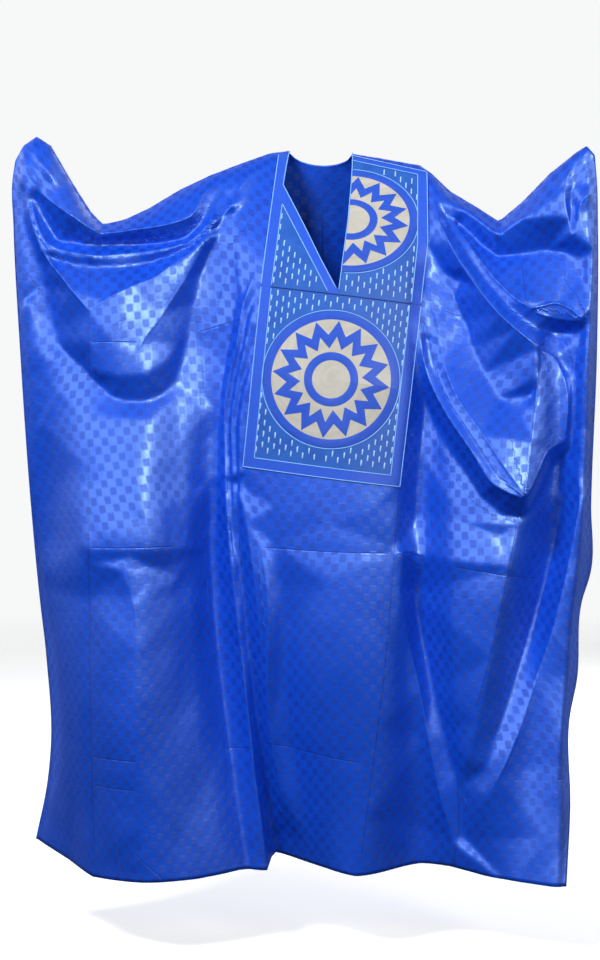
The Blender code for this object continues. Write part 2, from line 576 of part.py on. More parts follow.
# The back, seen from behind, so its quads are turned round.
back_x, back_z = back_places()
back = sheet_points(back_x, back_z, BACK_FLUTES, BACK_FOLDS, 1)
back_rows = back.shape[1]
back_columns = back.shape[0]
back = back.reshape(-1, 3)
back_quads = [tuple(reversed(q)) for q in cells(back_columns, back_rows)]
back_normals = vertex_normals(back, back_quads)
set_edge(back_normals, back, np.arange(0, back_rows), (-1, 0, 0), 1, LEFT_EDGE)
set_edge(back_normals, back, len(back) - back_rows + np.arange(0, back_rows), (1, 0, 0), 1, RIGHT_EDGE)
n_left, n_neck = len(LEFT_COLUMNS), len(NECK_COLUMNS)
set_edge(back_normals, back, np.arange(0, n_left) * back_rows, (0, 0, 1))
set_edge(back_normals, back, np.arange(n_left + n_neck, back_columns) * back_rows, (0, 0, 1))
points, faces = closed_body(back, back - WALL * back_normals, list(halves(back_quads)))
make_object("back_body", points, faces, cloth("back cloth", BLUE, 0.34))


# What is sewn on the front is cut out of the front's own faces and moved outward.
def side_lines(corners):
    """Each side of a polygon given clockwise, as a point and its inward direction."""
    corners = [Vector(c) for c in corners]
    lines = []
    for a, b in zip(corners, corners[1:] + corners[:1]):
        along = (b - a).normalized()
        lines.append((a, Vector((along.y, -along.x))))
    return lines


def cut_along(shape, line, keep_inside):
    point, inward = line
    geom = list(shape.verts) + list(shape.edges) + list(shape.faces)
    bmesh.ops.bisect_plane(shape, geom=geom, dist=1e-6, plane_co=(point.x, 0.0, point.y),
                           plane_no=(inward.x, 0.0, inward.y), clear_inner=keep_inside)


def inside(lines, place):
    return all((place - point).dot(inward) > 0 for point, inward in lines)


def front_patch(keep):
    """The front's outer faces inside the convex outline keep."""
    shape = bmesh.new()
    verts = [shape.verts.new(p) for p in front]
    for face in front_faces:
        shape.faces.new([verts[v] for v in face])
    for line in side_lines(keep):
        cut_along(shape, line, True)
    return shape


def drop_faces(shape, unwanted):
    """Cuts along the outline unwanted and removes what lies inside it."""
    lines = side_lines(unwanted)
    for line in lines:
        cut_along(shape, line, False)
    gone = []
    for face in shape.faces:
        middle = face.calc_center_median()
        if inside(lines, Vector((middle.x, middle.z))):
            gone.append(face)
    bmesh.ops.delete(shape, geom=gone, context="FACES")


def raise_patch(name, shape, layer, material):
    """A patch made into a body, its underside moved out by the layer's distance."""
    bmesh.ops.triangulate(shape, faces=shape.faces)
    bmesh.ops.remove_doubles(shape, verts=shape.verts, dist=2e-5)
    shape.verts.ensure_lookup_table()
    points = np.array([tuple(v.co) for v in shape.verts])
    patch_faces = [tuple(v.index for v in face.verts) for face in shape.faces]
    shape.free()
    low = layer * (LAYER_GAP + LAYER_WALL) + LAYER_GAP
    out = np.array(OUT)
    points, faces = closed_body(points + out * (low + LAYER_WALL), points + out * low, patch_faces)
    return make_object(name, points, faces, material)


def ring(disc):
    turns = [-2 * math.pi * k / disc.sides for k in range(disc.sides)]
    return [(disc.across + disc.wide * math.cos(a), disc.height + disc.tall * math.sin(a)) for a in turns]


def keep_side(shape, direction):
    """Keeps what lies on one side (1 right, -1 left) of the upright line through the foot of the neck."""
    cut_along(shape, (NECK_FOOT, Vector((direction, 0.0))), True)
    return shape


GROUND = (0.045, 0.160, 0.560)
STRIP_BLUE = (0.050, 0.140, 0.720)
SILVER = (0.760, 0.730, 0.640)

raise_patch("neck_panel", front_patch(NECK_PANEL), 0, cloth("neck panel cloth", GROUND, 0.50))
raise_patch("chest_pocket", front_patch(POCKET), 0, cloth("pocket cloth", GROUND, 0.50))

left_strip = keep_side(front_patch(NECK_PANEL), -1)
drop_faces(left_strip, GROUND_LEFT)
raise_patch("left_border", left_strip, 1, cloth("left border cloth", STRIP_BLUE, 0.45))
right_strip = keep_side(front_patch(NECK_PANEL), 1)
drop_faces(right_strip, GROUND_RIGHT)
raise_patch("right_border", right_strip, 1, cloth("right border cloth", STRIP_BLUE, 0.45))
pocket_strip = front_patch(POCKET)
drop_faces(pocket_strip, POCKET_GROUND)
raise_patch("pocket_border", pocket_strip, 1, cloth("pocket border cloth", STRIP_BLUE, 0.45))

pocket_disc = front_patch(ring(POCKET_DISC))
raise_patch("pocket_medallion", pocket_disc, 1, cloth("pocket medallion thread", SILVER, 0.40))
neck_disc = keep_side(front_patch(ring(NECK_DISC)), 1)
raise_patch("neck_medallion", neck_disc, 1, cloth("neck medallion thread", SILVER, 0.40))
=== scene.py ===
# The look of the gala robe: damask shells with their folds, the embroidered panel, camera, light and floor.
# Lengths are in metres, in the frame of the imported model: +Z up, the front faces -Y.
import math
from collections import namedtuple

import bmesh
import bpy
import numpy as np
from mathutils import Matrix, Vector
from mathutils.geometry import delaunay_2d_cdt


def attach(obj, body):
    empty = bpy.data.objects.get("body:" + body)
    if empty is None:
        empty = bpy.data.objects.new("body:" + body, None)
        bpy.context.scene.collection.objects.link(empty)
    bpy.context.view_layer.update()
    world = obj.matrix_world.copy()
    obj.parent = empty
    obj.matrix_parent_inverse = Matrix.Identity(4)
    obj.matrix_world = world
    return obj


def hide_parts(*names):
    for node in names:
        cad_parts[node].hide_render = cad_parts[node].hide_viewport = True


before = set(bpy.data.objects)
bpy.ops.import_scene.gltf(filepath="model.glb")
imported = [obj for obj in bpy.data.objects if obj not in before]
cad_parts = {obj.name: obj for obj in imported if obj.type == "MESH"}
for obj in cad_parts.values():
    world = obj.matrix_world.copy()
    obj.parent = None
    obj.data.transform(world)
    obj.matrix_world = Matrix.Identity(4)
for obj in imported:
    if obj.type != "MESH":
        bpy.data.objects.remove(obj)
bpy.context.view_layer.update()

MM = 0.001
CLOTH = 0.0012
SEAM = 0.0003
EDGE_ROLL = 0.022

# The same tables as in the solids: the fold over the arms, the side edges, the hems and the neck. Only the
# step in the front hem beside the left drape is new.
Top = namedtuple("Top", "across height depth roll slope")
TOP_LINE = (
    Top(-0.592, -0.022, -0.100, 0.014, 0.060),
    Top(-0.578, 0.004, -0.100, 0.016, 0.060),
    Top(-0.552, 0.022, -0.100, 0.018, 0.060),
    Top(-0.524, 0.004, -0.100, 0.022, 0.070),
    Top(-0.476, -0.078, -0.092, 0.026, 0.080),
    Top(-0.446, -0.126, -0.080, 0.030, 0.090),
    Top(-0.424, -0.148, -0.070, 0.032, 0.100),
    Top(-0.384, -0.138, -0.052, 0.034, 0.100),
    Top(-0.336, -0.114, -0.034, 0.038, 0.110),
    Top(-0.276, -0.076, -0.015, 0.040, 0.120),
    Top(-0.216, -0.046, 0.000, 0.040, 0.140),
    Top(-0.156, -0.022, 0.010, 0.036, 0.180),
    Top(-0.096, 0.000, 0.018, 0.030, 0.240),
    Top(-0.056, 0.005, 0.020, 0.028, 0.260),
    Top(0.068, -0.001, 0.020, 0.028, 0.260),
    Top(0.124, -0.010, 0.018, 0.028, 0.260),
    Top(0.204, -0.025, 0.010, 0.030, 0.220),
    Top(0.228, -0.042, 0.005, 0.034, 0.160),
    Top(0.264, -0.078, -0.005, 0.036, 0.130),
    Top(0.314, -0.110, -0.025, 0.036, 0.110),
    Top(0.358, -0.141, -0.050, 0.032, 0.100),
    Top(0.404, -0.102, -0.075, 0.028, 0.090),
    Top(0.454, -0.050, -0.100, 0.024, 0.080),
    Top(0.504, -0.010, -0.116, 0.020, 0.070),
    Top(0.524, 0.002, -0.118, 0.018, 0.060),
    Top(0.538, -0.014, -0.120, 0.014, 0.060),
)
Edge = namedtuple("Edge", "height across depth gap")
LEFT_EDGE = (
    Edge(-0.022, -0.592, -0.100, 0.000),
    Edge(-0.060, -0.598, -0.098, 0.012),
    Edge(-0.156, -0.596, -0.088, 0.026),
    Edge(-0.400, -0.584, -0.050, 0.055),
    Edge(-0.700, -0.568, -0.010, 0.050),
    Edge(-0.900, -0.556, 0.020, 0.018),
    Edge(-1.000, -0.548, 0.035, 0.000),
    Edge(-1.186, -0.541, 0.070, 0.000),
    Edge(-1.276, -0.552, 0.105, 0.000),
    Edge(-1.400, -0.580, 0.150, 0.000),
)
RIGHT_EDGE = (
    Edge(-0.014, 0.538, -0.120, 0.000),
    Edge(-0.060, 0.542, -0.118, 0.012),
    Edge(-0.156, 0.544, -0.108, 0.026),
    Edge(-0.400, 0.543, -0.075, 0.052),
    Edge(-0.700, 0.537, -0.040, 0.042),
    Edge(-0.840, 0.542, -0.020, 0.006),
    Edge(-0.896, 0.526, -0.018, 0.000),
    Edge(-1.056, 0.514, -0.030, 0.000),
    Edge(-1.120, 0.500, -0.040, 0.000),
    Edge(-1.296, 0.495, -0.090, 0.000),
    Edge(-1.440, 0.482, -0.140, 0.000),
)
Hem = namedtuple("Hem", "across height")
FRONT_HEM = (
    Hem(-0.580, -1.400), Hem(-0.516, -1.420), Hem(-0.446, -1.440), Hem(-0.336, -1.432),
    Hem(-0.236, -1.432), Hem(-0.156, -1.426), Hem(-0.100, -1.430), Hem(-0.091, -1.405),
    Hem(-0.036, -1.414), Hem(0.074, -1.428), Hem(0.204, -1.418), Hem(0.264, -1.420), Hem(0.324, -1.430),
    Hem(0.404, -1.436), Hem(0.482, -1.440),
)
BACK_HEM = (
    Hem(-0.580, -1.400), Hem(-0.400, -1.424), Hem(-0.200, -1.418), Hem(0.000, -1.426),
    Hem(0.200, -1.420), Hem(0.360, -1.430), Hem(0.482, -1.440),
)
Neck = namedtuple("Neck", "height left right")
NECK = (
    Neck(0.005, -0.056, 0.068),
    Neck(-0.030, -0.062, 0.067),
    Neck(-0.070, -0.068, 0.064),
    Neck(-0.150, -0.028, 0.056),
    Neck(-0.220, 0.005, 0.046),
    Neck(-0.282, 0.038, 0.038),
)
NECK_LEFT, NECK_RIGHT = NECK[0].left, NECK[0].right
NECK_FOOT = Vector((0.038, -0.282))
NECK_RIGHT_TOP = -0.001
HEM_MIDDLE = 0.008
BACK_SCOOP = 0.024

# Heights at which each flute has a place and a depth, as in the solids.
LEVELS = (-0.15, -0.40, -0.70, -1.00, -1.44)
Flute = namedtuple("Flute", "name across depth")
FRONT_FLUTES = (
    Flute("left edge roll",
          (-0.576, -0.556, -0.532, -0.512, -0.512), (-0.135, -0.120, -0.080, -0.050, 0.070)),
    Flute("left drape crease",
          (-0.442, -0.442, -0.442, -0.442, -0.440), (-0.138, -0.160, -0.172, -0.158, -0.060)),
    Flute("left drape crest",
          (-0.356, -0.346, -0.336, -0.336, -0.320), (-0.108, -0.150, -0.178, -0.168, -0.125)),
    Flute("left drape inner side",
          (-0.256, -0.262, -0.262, -0.246, -0.210), (-0.092, -0.118, -0.125, -0.118, -0.095)),
    Flute("left valley",
          (-0.172, -0.190, -0.200, -0.172, -0.122), (-0.085, -0.094, -0.082, -0.066, -0.035)),
    Flute("panel left side",
          (-0.100, -0.118, -0.140, -0.118, -0.080), (-0.110, -0.138, -0.120, -0.095, 0.010)),
    Flute("belly",
          (0.024, 0.024, 0.024, 0.024, 0.010), (-0.130, -0.172, -0.180, -0.162, -0.050)),
    Flute("panel right side",
          (0.164, 0.168, 0.148, 0.128, 0.084), (-0.110, -0.148, -0.162, -0.156, -0.105)),
    Flute("right valley",
          (0.224, 0.216, 0.196, 0.196, 0.204), (-0.080, -0.112, -0.104, -0.085, -0.015)),
    Flute("right drape crest",
          (0.304, 0.292, 0.280, 0.270, 0.290), (-0.086, -0.134, -0.165, -0.150, -0.050)),
    Flute("right drape crease",
          (0.404, 0.414, 0.394, 0.344, 0.350), (-0.122, -0.148, -0.160, -0.150, -0.095)),
    Flute("right drape valley",
          (0.454, 0.468, 0.460, 0.424, 0.404), (-0.138, -0.126, -0.105, -0.100, -0.125)),
    Flute("right edge roll",
          (0.514, 0.514, 0.510, 0.484, 0.460), (-0.140, -0.145, -0.130, -0.110, -0.150)),
)
BACK_FLUTES = (
    Flute("left drape",
          (-0.500, -0.500, -0.490, -0.480, -0.490), (-0.030, 0.020, 0.070, 0.100, 0.175)),
    Flute("left hollow",
          (-0.400, -0.400, -0.396, -0.390, -0.400), (0.022, 0.044, 0.062, 0.075, 0.125)),
    Flute("left crest",
          (-0.310, -0.300, -0.300, -0.300, -0.300), (0.054, 0.094, 0.120, 0.140, 0.190)),
    Flute("left shoulder blade",
          (-0.170, -0.180, -0.190, -0.190, -0.200), (0.070, 0.100, 0.085, 0.085, 0.110)),
    Flute("left of the middle",
          (-0.080, -0.080, -0.090, -0.095, -0.100), (0.095, 0.125, 0.130, 0.140, 0.170)),
    Flute("middle",
          (0.010, 0.010, 0.010, 0.010, 0.010), (0.095, 0.110, 0.100, 0.100, 0.115)),
    Flute("right of the middle",
          (0.096, 0.096, 0.104, 0.110, 0.110), (0.095, 0.125, 0.130, 0.140, 0.165)),
    Flute("right shoulder blade",
          (0.190, 0.196, 0.204, 0.204, 0.200), (0.070, 0.095, 0.080, 0.080, 0.095)),
    Flute("right crest",
          (0.300, 0.300, 0.300, 0.290, 0.290), (0.046, 0.086, 0.110, 0.120, 0.150)),
    Flute("right hollow",
          (0.390, 0.396, 0.390, 0.376, 0.380), (0.014, 0.030, 0.045, 0.050, 0.060)),
    Flute("right drape",
          (0.480, 0.480, 0.476, 0.450, 0.440), (-0.044, 0.002, 0.030, 0.040, 0.030)),
)

# Folds over the flutes: on the back the solids' folds and two narrow ones, and on the front narrow ones
# alone, because the facets below stand for the solids' large folds there. rise is outward; left and right are
# the widths on the two sides of the path, seen from the front.
Fold = namedtuple("Fold", "name rise left right crisp start end path")
FRONT_FOLDS = (
    Fold("left edge strip", 0.007, 0.016, 0.012, True, 0.10, 0.20,
         ((-0.584, -0.096), (-0.572, -0.296), (-0.558, -0.556), (-0.544, -0.816), (-0.528, -1.096))),
    Fold("wedge beside the neck", 0.006, 0.010, 0.012, True, 0.10, 0.30,
         ((-0.164, -0.096), (-0.156, -0.176), (-0.154, -0.238), (-0.148, -0.308))),
    Fold("edge strip right", 0.009, 0.012, 0.012, True, 0.10, 0.15,
         ((0.532, -0.076), (0.526, -0.296), (0.518, -0.496), (0.512, -0.696), (0.496, -0.896),
          (0.476, -1.096), (0.454, -1.296))),
    Fold("right hand pleat 1", 0.005, 0.006, 0.006, True, 0.30, 0.40,
         ((-0.576, -0.010), (-0.560, -0.050), (-0.534, -0.088))),
    Fold("right hand pleat 2", 0.006, 0.007, 0.006, True, 0.30, 0.40,
         ((-0.562, 0.010), (-0.538, -0.034), (-0.500, -0.082))),
    Fold("right hand pleat 3", 0.005, 0.006, 0.006, True, 0.30, 0.40,
         ((-0.546, 0.012), (-0.520, -0.026), (-0.492, -0.070))),
    Fold("left hand pleat 1", 0.006, 0.007, 0.006, True, 0.30, 0.40,
         ((0.520, -0.008), (0.494, -0.040), (0.470, -0.076))),
    Fold("left hand pleat 2", 0.005, 0.006, 0.006, True, 0.30, 0.40,
         ((0.530, -0.022), (0.524, -0.070), (0.516, -0.128))),
)
BACK_FOLDS = (
    Fold("left hand to shoulder blade", 0.022, 0.020, 0.030, True, 0.15, 0.20,
         ((-0.550, -0.120), (-0.480, -0.200), (-0.380, -0.230), (-0.280, -0.200), (-0.210, -0.130))),
    Fold("left pouch", 0.028, 0.060, 0.024, False, 0.25, 0.25,
         ((-0.520, -0.260), (-0.480, -0.380), (-0.390, -0.460), (-0.300, -0.420), (-0.240, -0.280))),
    Fold("left roll underside", -0.012, 0.026, 0.026, False, 0.20, 0.25,
         ((-0.500, -0.180), (-0.400, -0.200), (-0.300, -0.170), (-0.240, -0.110))),
    Fold("right hand to shoulder blade", 0.022, 0.030, 0.020, True, 0.15, 0.20,
         ((0.500, -0.120), (0.440, -0.190), (0.360, -0.220), (0.280, -0.190), (0.220, -0.120))),
    Fold("right pouch", 0.028, 0.024, 0.060, False, 0.25, 0.25,
         ((0.490, -0.260), (0.450, -0.380), (0.370, -0.450), (0.290, -0.400), (0.240, -0.270))),
    Fold("right roll underside", -0.012, 0.026, 0.026, False, 0.20, 0.25,
         ((0.470, -0.150), (0.380, -0.190), (0.300, -0.170), (0.240, -0.110))),
    Fold("long fold left", 0.016, 0.030, 0.024, False, 0.25, 0.10,
         ((-0.220, -0.450), (-0.230, -0.800), (-0.250, -1.100), (-0.260, -1.440))),
    Fold("long fold right", 0.016, 0.024, 0.030, False, 0.25, 0.10,
         ((0.230, -0.450), (0.240, -0.800), (0.240, -1.100), (0.250, -1.440))),
    Fold("left fold from the blade", 0.008, 0.010, 0.012, True, 0.20, 0.20,
         ((-0.130, -0.140), (-0.150, -0.330), (-0.170, -0.560), (-0.180, -0.900))),
    Fold("right fold from the blade", 0.008, 0.012, 0.010, True, 0.20, 0.20,
         ((0.150, -0.140), (0.160, -0.330), (0.176, -0.560), (0.186, -0.900))),
)

# The taut folds, in millimetres: lines of places (across, up) with a rise outward. Between the lines the
# cloth is flat, so that it breaks into facets as stiff cloth does. A lip is a fine sharp edge on the line, in
# tenths of a millimetre.
Ridge = namedtuple("Ridge", "name lip line")
LEFT_FACETS = (
    Ridge("arm crest", 12, ((-544, -86, 6), (-517, -110, 9), (-478, -137, 12), (-422, -167, 15),
        (-383, -164, 15), (-335, -158, 14), (-288, -149, 14), (-248, -132, 12), (-237, -114, 9),
        (-229, -90, 6), (-209, -68, 3))),
    Ridge("underside of the arm", 0, ((-551, -102, 0), (-532, -143, -5), (-505, -190, -10),
        (-466, -192, -13), (-415, -192, -14), (-359, -192, -14), (-300, -189, -13), (-260, -180, -8),
        (-237, -157, -5), (-221, -130, -2), (-209, -106, 0), (-195, -82, 0))),
    Ridge("swag crest", 9, ((-561, -102, 5), (-547, -149, 7), (-530, -185, 8), (-505, -200, 7),
        (-466, -209, 6), (-430, -213, 5), (-359, -205, 5), (-296, -195, 6), (-250, -183, 6),
        (-225, -159, 6), (-207, -132, 5))),
    Ridge("under the swag", 0, ((-517, -223, 1), (-478, -232, -1), (-430, -236, -3), (-379, -236, -3),
        (-328, -228, -4), (-280, -211, -4), (-241, -190, -3), (-209, -159, -1), (-189, -132, 0),
        (-169, -98, 1))),
    Ridge("shoulder to crease", 11, ((-442, -323, 18), (-415, -302, 17), (-383, -284, 17), (-351, -268, 17),
        (-320, -256, 17), (-288, -232, 16), (-256, -207, 15), (-225, -177, 14), (-197, -141, 12),
        (-173, -114, 10), (-155, -74, 6), (-134, -47, 3))),
    Ridge("hand to crease", 14, ((-566, -82, 8), (-563, -122, 10), (-550, -169, 12), (-534, -209, 13),
        (-509, -240, 14), (-478, -280, 16), (-442, -323, 18))),
    Ridge("beside the hand fold", 0, ((-577, -82, 0), (-574, -122, -2), (-561, -173, -4), (-543, -221, -5),
        (-532, -272, -7), (-517, -351, -8), (-505, -387, -8), (-478, -414, -8), (-446, -439, -8),
        (-422, -466, -8), (-403, -486, -8), (-367, -497, -8), (-331, -497, -8), (-300, -482, -8),
        (-278, -460, -8), (-264, -414, -7), (-254, -359, -6), (-244, -304, -4), (-233, -248, -3),
        (-217, -207, -2), (-193, -165, 0), (-161, -122, 0))),
    Ridge("pouch crease", 0, ((-442, -323, 18), (-442, -380, 12), (-399, -383, 12), (-345, -387, 10))),
    Ridge("pouch fall", 0, ((-442, -380, 12), (-438, -438, 4), (-391, -448, 6), (-335, -444, 6),
        (-296, -418, 4), (-278, -383, 2))),
    Ridge("pouch diagonal", 5, ((-225, -193, 11), (-260, -260, 13), (-300, -323, 12), (-345, -387, 10),
        (-359, -410, 9))),
    Ridge("under the pouch", 0, ((-541, -410, 3), (-517, -470, 1), (-478, -501, -1), (-446, -517, -2),
        (-399, -525, -2), (-328, -525, -2), (-288, -501, -2))),
    Ridge("ramp left", 6, ((-443, -446, -8), (-443, -549, 0), (-443, -667, 6), (-443, -780, 12))),
    Ridge("ramp right", 0, ((-324, -533, 0), (-320, -628, 4), (-308, -707, 8), (-296, -780, 11))),
    Ridge("ramp foot", 0, ((-443, -780, 12), (-379, -782, 13), (-296, -780, 11))),
    Ridge("ramp end", 0, ((-450, -814, 5), (-379, -818, 6), (-288, -814, 4))),
    Ridge("left of the ramp", 0, ((-537, -549, 4), (-494, -588, 5), (-462, -608, 5), (-462, -707, 8),
        (-462, -778, 9))),
    Ridge("outer left", 0, ((-567, -311, 3), (-563, -430, 3), (-557, -549, 2), (-545, -707, 2))),
    Ridge("shoulder facet", 0, ((-288, -114, 5), (-256, -90, 6), (-209, -47, 5), (-169, -31, 3))),
    Ridge("edge of it", 0, ((-596, -47, 0), (-600, -82, 0), (-596, -193, 0), (-589, -311, 0),
        (-581, -470, 0), (-569, -667, 0), (-561, -865, 0), (-478, -873, 0), (-359, -873, 0),
        (-280, -873, 0), (-217, -786, 0), (-209, -667, 0), (-205, -509, 0), (-193, -351, 0),
        (-181, -232, 0), (-161, -169, 0), (-138, -94, 0), (-110, -27, 0), (-122, -1, 0), (-169, -20, 0),
        (-217, -41, 0), (-280, -76, 0), (-335, -110, 0), (-383, -130, 0), (-415, -139, 0), (-426, -147, 0),
        (-438, -122, 0), (-462, -78, 0), (-505, -15, 0), (-521, 9, 0), (-547, 21, 0), (-561, 5, 0),
        (-577, -27, 0))),
)
RIGHT_FACETS = (
    Ridge("roll under the edge", 0, ((241, -79, 6), (293, -119, 9), (348, -167, 11), (397, -140, 11),
        (447, -107, 9), (488, -74, 6))),
    Ridge("foot of the dark band", 0, ((277, -148, -8), (315, -186, -12), (353, -214, -15),
        (397, -208, -15), (447, -200, -13), (479, -203, -11), (512, -214, -7))),
    Ridge("swag E", 14, ((263, -137, 2), (288, -175, 5), (315, -218, 7), (348, -263, 9), (381, -296, 11),
        (409, -318, 13))),
    Ridge("between E and F", 0, ((249, -131, 2), (271, -178, 4), (299, -222, 4), (329, -266, 5),
        (364, -310, 6), (397, -340, 6), (425, -365, 6))),
    Ridge("swag F", 20, ((232, -103, 9), (238, -142, 14), (255, -184, 18), (282, -235, 22), (315, -284, 24),
        (348, -326, 24), (381, -357, 22), (426, -393, 17))),
    Ridge("hollow under F", 0, ((222, -197, -2), (246, -241, -6), (265, -291, -9), (285, -340, -11),
        (299, -389, -11), (318, -439, -10), (348, -491, -6), (386, -510, -2), (414, -482, 0))),
    Ridge("second rim", 10, ((217, -307, 2), (233, -373, 6), (246, -428, 9), (271, -493, 14),
        (315, -559, 18), (351, -614, 22), (395, -675, 26))),
    Ridge("between the rims", 0, ((208, -373, 3), (226, -439, 6), (263, -524, 13), (309, -592, 18),
        (356, -651, 22))),
    Ridge("pouch rim", 16, ((197, -362, 6), (205, -417, 10), (216, -455, 14), (246, -518, 20),
        (293, -591, 24), (334, -655, 26), (367, -673, 26), (395, -681, 26), (409, -663, 24),
        (425, -632, 22), (447, -591, 18), (478, -575, 14))),
    Ridge("below the rim", 0, ((186, -389, -3), (197, -461, -4), (227, -535, -5), (271, -609, -5),
        (315, -677, -4), (359, -713, -3), (403, -719, -3), (430, -674, -3), (458, -622, -3),
        (484, -598, -1))),
    Ridge("between the band and the fin", 0, ((185, -252, -2), (225, -252, -4), (280, -258, -4))),
    Ridge("fin", 14, ((409, -318, 11), (436, -311, 13), (458, -306, 14), (488, -317, 13), (510, -337, 10))),
    Ridge("fin lower rim", 10, ((415, -322, 10), (447, -333, 12), (479, -339, 12), (510, -340, 9))),
    Ridge("under the fin", 0, ((422, -356, 3), (452, -359, -4), (485, -362, -7), (512, -359, -6))),
    Ridge("facet edge", 10, ((427, -395, 6), (460, -414, 8), (477, -452, 11), (484, -515, 13),
        (479, -575, 14))),
    Ridge("facet middle", 0, ((429, -452, 12), (437, -510, 17), (430, -565, 19))),
    Ridge("crease side", 8, ((426, -393, 14), (422, -452, 12), (418, -510, 13), (409, -576, 18),
        (401, -636, 22), (395, -681, 26))),
    Ridge("dark fold upper", 0, ((514, -263, -5), (504, -373, -6), (499, -450, -5), (495, -532, -4),
        (490, -587, -3))),
    Ridge("hand loop", 12, ((479, -60, 5), (477, -99, 7), (484, -142, 9), (492, -176, 9), (503, -145, 9),
        (511, -107, 8), (532, -90, 5))),
    Ridge("in the loop", 0, ((494, -77, 0), (493, -121, -1), (493, -151, 3))),
    Ridge("right strip", 12, ((537, -104, 3), (532, -203, 4), (526, -312, 4), (517, -450, 3))),
    Ridge("edge of it", 0, ((217, -33, 0), (211, -121, 0), (208, -197, 0), (200, -285, 0), (183, -340, 0),
        (175, -450, 0), (183, -559, 0), (238, -669, 0), (315, -768, 0), (403, -801, 0), (474, -768, 0),
        (507, -669, 0), (534, -559, 0), (544, -395, 0), (547, -230, 0), (546, -110, 0), (544, -74, 0),
        (518, 0, 0), (490, -27, 0), (447, -82, 0), (403, -116, 0), (351, -149, 0), (315, -123, 0),
        (271, -85, 0), (244, -60, 0))),
)

SIDE_FACETS = (
    Ridge("first narrow fold", 12, ((-114, -222, 3), (-148, -314, 9), (-158, -382, 9), (-174, -446, 9),
        (-182, -494, 9), (-184, -542, 9), (-182, -614, 9), (-180, -696, 9), (-172, -816, 9),
        (-164, -936, 3))),
    Ridge("first groove", 0, ((-111, -246, -1), (-140, -328, -2), (-151, -400, -2), (-166, -466, -2),
        (-175, -516, -2), (-177, -576, -2), (-174, -656, -2), (-171, -736, -1))),
    Ridge("second narrow fold", 0, ((-112, -274, 2), (-136, -348, 8), (-158, -446, 8), (-167, -508, 8),
        (-171, -546, 8), (-168, -616, 8), (-164, -696, 8), (-156, -816, 2))),
    Ridge("second groove", 0, ((-112, -320, -1), (-128, -386, -2), (-150, -466, -2), (-160, -526, -2),
        (-162, -576, -2), (-159, -656, -1))),
    Ridge("third narrow fold", 0, ((-120, -400, 2), (-142, -470, 7), (-155, -532, 7), (-155, -596, 7),
        (-152, -676, 7), (-146, -776, 2))),
    Ridge("edge of it", 0, ((-136, -196, 0), (-160, -296, 0), (-176, -396, 0), (-194, -480, 0),
        (-202, -576, 0), (-198, -736, 0), (-186, -896, 0), (-168, -976, 0), (-144, -976, 0),
        (-132, -816, 0), (-136, -716, 0), (-148, -636, 0), (-140, -556, 0), (-132, -476, 0),
        (-120, -366, 0), (-108, -236, 0), (-112, -200, 0), (-136, -196, 0))),
)

